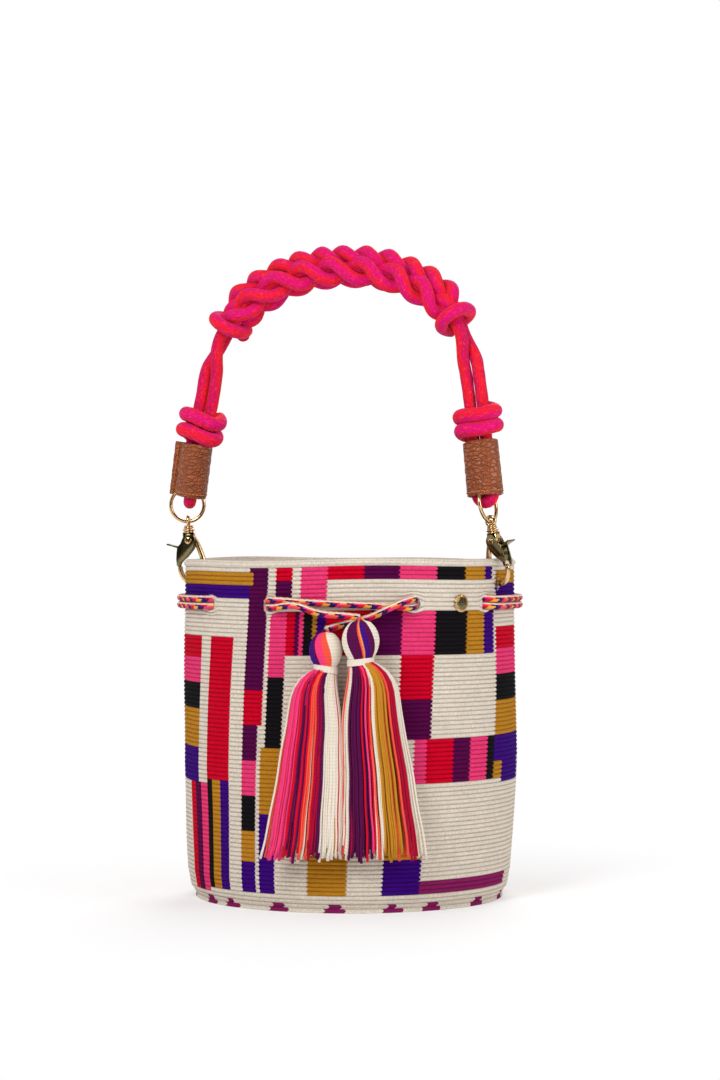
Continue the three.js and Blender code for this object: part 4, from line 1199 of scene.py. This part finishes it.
def trigger(name, place):
    gate = Soup()
    for low, high in ((-3.65, -2.7), (2.7, 3.65)):
        gate.placed(*plate(GATE, low, high, 0.28), place)
    gate.placed(*plate([(7.3, -14.6), (8.6, -14.6), (8.3, -4.2), (7.1, -4.2)], -3.5, 3.5, 0.3), place)
    thumb = [(-0.5, -0.75), (3, -0.6), (6, -0.55), (8.4, -0.6), (9.0, 0.0), (8.4, 0.5), (6, 0.45),
             (3, 0.6), (-0.5, 0.8)]
    c, t = math.cos(math.radians(18)), math.sin(math.radians(18))
    thumb = [(7.6 + x * c - z * t, -4.4 + x * t + z * c) for x, z in thumb]
    gate.placed(*plate(thumb, -3.4, 3.4, 0.3), place)
    made = gate.piece(name + "_trigger_polished", [olive_gold], name + "_gate", "olive_gold")
    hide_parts(name + "_trigger")


def screws(name, place):
    screw = Soup()
    for side in (-1, 1):
        spin = place @ Matrix.Rotation(math.radians(90 * side), 4, "X")
        screw.turned([(1.2, 0), (1.2, 3.6), (2.4, 3.7), (2.5, 4.1), (2.3, 4.4), (1.6, 4.5), (0.01, 4.55)],
                     36, spin)
        # The slots: two crossed near-black bars of painted shade on top of each head.
        for yaw in (0.4, 0.4 + math.pi / 2):
            slot = ((-1.4, -0.36), (1.4, -0.36), (1.4, 0.36), (-1.4, 0.36))
            bar = [[x, y, z] for z in (4.2, 4.6) for x, y in slot]
            box = [[3, 2, 1, 0], [4, 5, 6, 7], [0, 1, 5, 4], [1, 2, 6, 5], [2, 3, 7, 6], [3, 0, 4, 7]]
            screw.placed(bar, box, spin @ Matrix.Rotation(yaw, 4, "Z"), None, 1)
    made = screw.piece(name + "_screw_polished", [pale_gold, painted_slot_shade], name + "_snap", "pale_gold")
    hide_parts(name + "_trigger_screw")


def trigger_spring(name, place):
    spring = Soup()
    turn = np.linspace(0, 2 * math.pi * 2.25, 60)
    line = np.stack([1.75 * np.cos(turn), np.linspace(-0.73, 0.73, 60), 1.75 * np.sin(turn)], -1)
    spring.placed(*capped(*tube(line, 0.25, 8), 8)[:2], place)
    made = spring.piece(name + "_spring_wire", [steel], name + "_snap", "spring_steel")
    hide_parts(name + "_trigger_spring")


def swivel_eye(name, place):
    eye = Soup()
    verts, faces, _ = torus(3.05, 1.25, 48, 14)
    eye.placed(verts + (0, 0, 43), faces, place)
    eye.turned([(0, 37.5), (3.4, 37.5), (3.6, 37.8), (3.6, 38.4), (3.0, 38.7), (3.0, 39.0), (3.5, 39.2),
                (3.4, 39.7), (0, 39.8)], 36, place)
    eye.turned([(0, 33.3), (2.3, 33.4), (2.3, 34.5), (1.5, 34.5), (1.5, 39)], 24, place)
    made = eye.piece(name + "_swivel_eye_polished", [pale_gold], "handle", "pale_gold")
    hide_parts(name + "_swivel_eye")


def o_ring(name, place):
    ring = Soup()
    verts, faces, _ = torus(RING_RADIUS, 1.25)
    raised = Matrix.Translation((0, 0, RING_LIFT)) @ Matrix.Rotation(math.pi / 2, 4, "Z")
    ring.placed(verts, faces, place @ raised)
    made = ring.piece(name + "_ring_polished", [pale_gold], name + "_ring_turning", "pale_gold")
    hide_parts(name + "_ring")


def hardware(s, name):
    chain = TO_BAG @ Matrix.Translation(s["foot"]) @ Matrix.Rotation(s["slope"], 4, "Y")
    hook_place = chain @ Matrix.Translation((0, 0, PIVOT_HEIGHT)) @ Matrix.Rotation(s["turn"], 4, "Z")
    ring_place = chain @ Matrix.Rotation(s["ring_turn"], 4, "Z")
    for build in (hook_body, trigger, screws, trigger_spring):
        build(name, hook_place)
    for build in (swivel_eye, o_ring):
        build(name, ring_place)


for s, name in ((LEFT, "left"), (RIGHT, "right")):
    sleeve(s, name)
    hardware(s, name)

# Rivet: a thin disc with a notched bright rim and a dark domed middle
out = Vector(wall_point(40, 1.0, 0)).normalized()
rivet_turn = out.to_track_quat("Z", "Y").to_matrix().to_4x4()
rivet_place = Matrix.Translation(wall_point(40, 0, CORD_HEIGHT)) @ rivet_turn
cap = Soup()
low = 1.9
cap.turned([(1.8, low), (5.9, low), (6.05, low + 0.35), (5.7, low + 0.7), (4.9, low + 0.95),
            (4.5, low + 0.8)], 72, rivet_place)
for k in range(26):
    a = 2 * math.pi * k / 26
    line = np.array([(4.3, 0, low + 1.0), (5.2, 0, low + 0.95), (5.9, 0, low + 0.45)])
    verts, faces, _ = tube(line, 0.42, 8)
    cap.placed(verts, faces, rivet_place @ Matrix.Rotation(a, 4, "Z"))
cap.turned([(4.5, low + 0.75), (4.2, low + 1.05), (3.0, low + 1.25), (1.6, low + 1.2),
            (0.01, low + 1.4)], 48, rivet_place, 1)
for k in range(12):
    a = 2 * math.pi * k / 12
    line = np.array([(0.8, 0, low + 1.35), (2.4, 0, low + 1.3), (3.9, 0, low + 1.1)])
    verts, faces, _ = tube(line, 0.22, 6)
    cap.placed(verts, faces, rivet_place @ Matrix.Rotation(a, 4, "Z"), None, 1)
rivet = cap.piece("rivet_disc", [pale_gold, olive_gold], "bag", "pale_gold")
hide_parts("rivet_cap")
back = Soup()
back.turned([(0.01, -3.3), (3.6, -3.2), (4.4, -2.9), (4.5, -2.3), (1.5, -2.2), (1.5, 2.6), (0.01, 2.6)],
            48, rivet_place)
made = back.piece("rivet_washer", [pale_gold], "bag", "pale_gold")
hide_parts("rivet_back")


low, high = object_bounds()
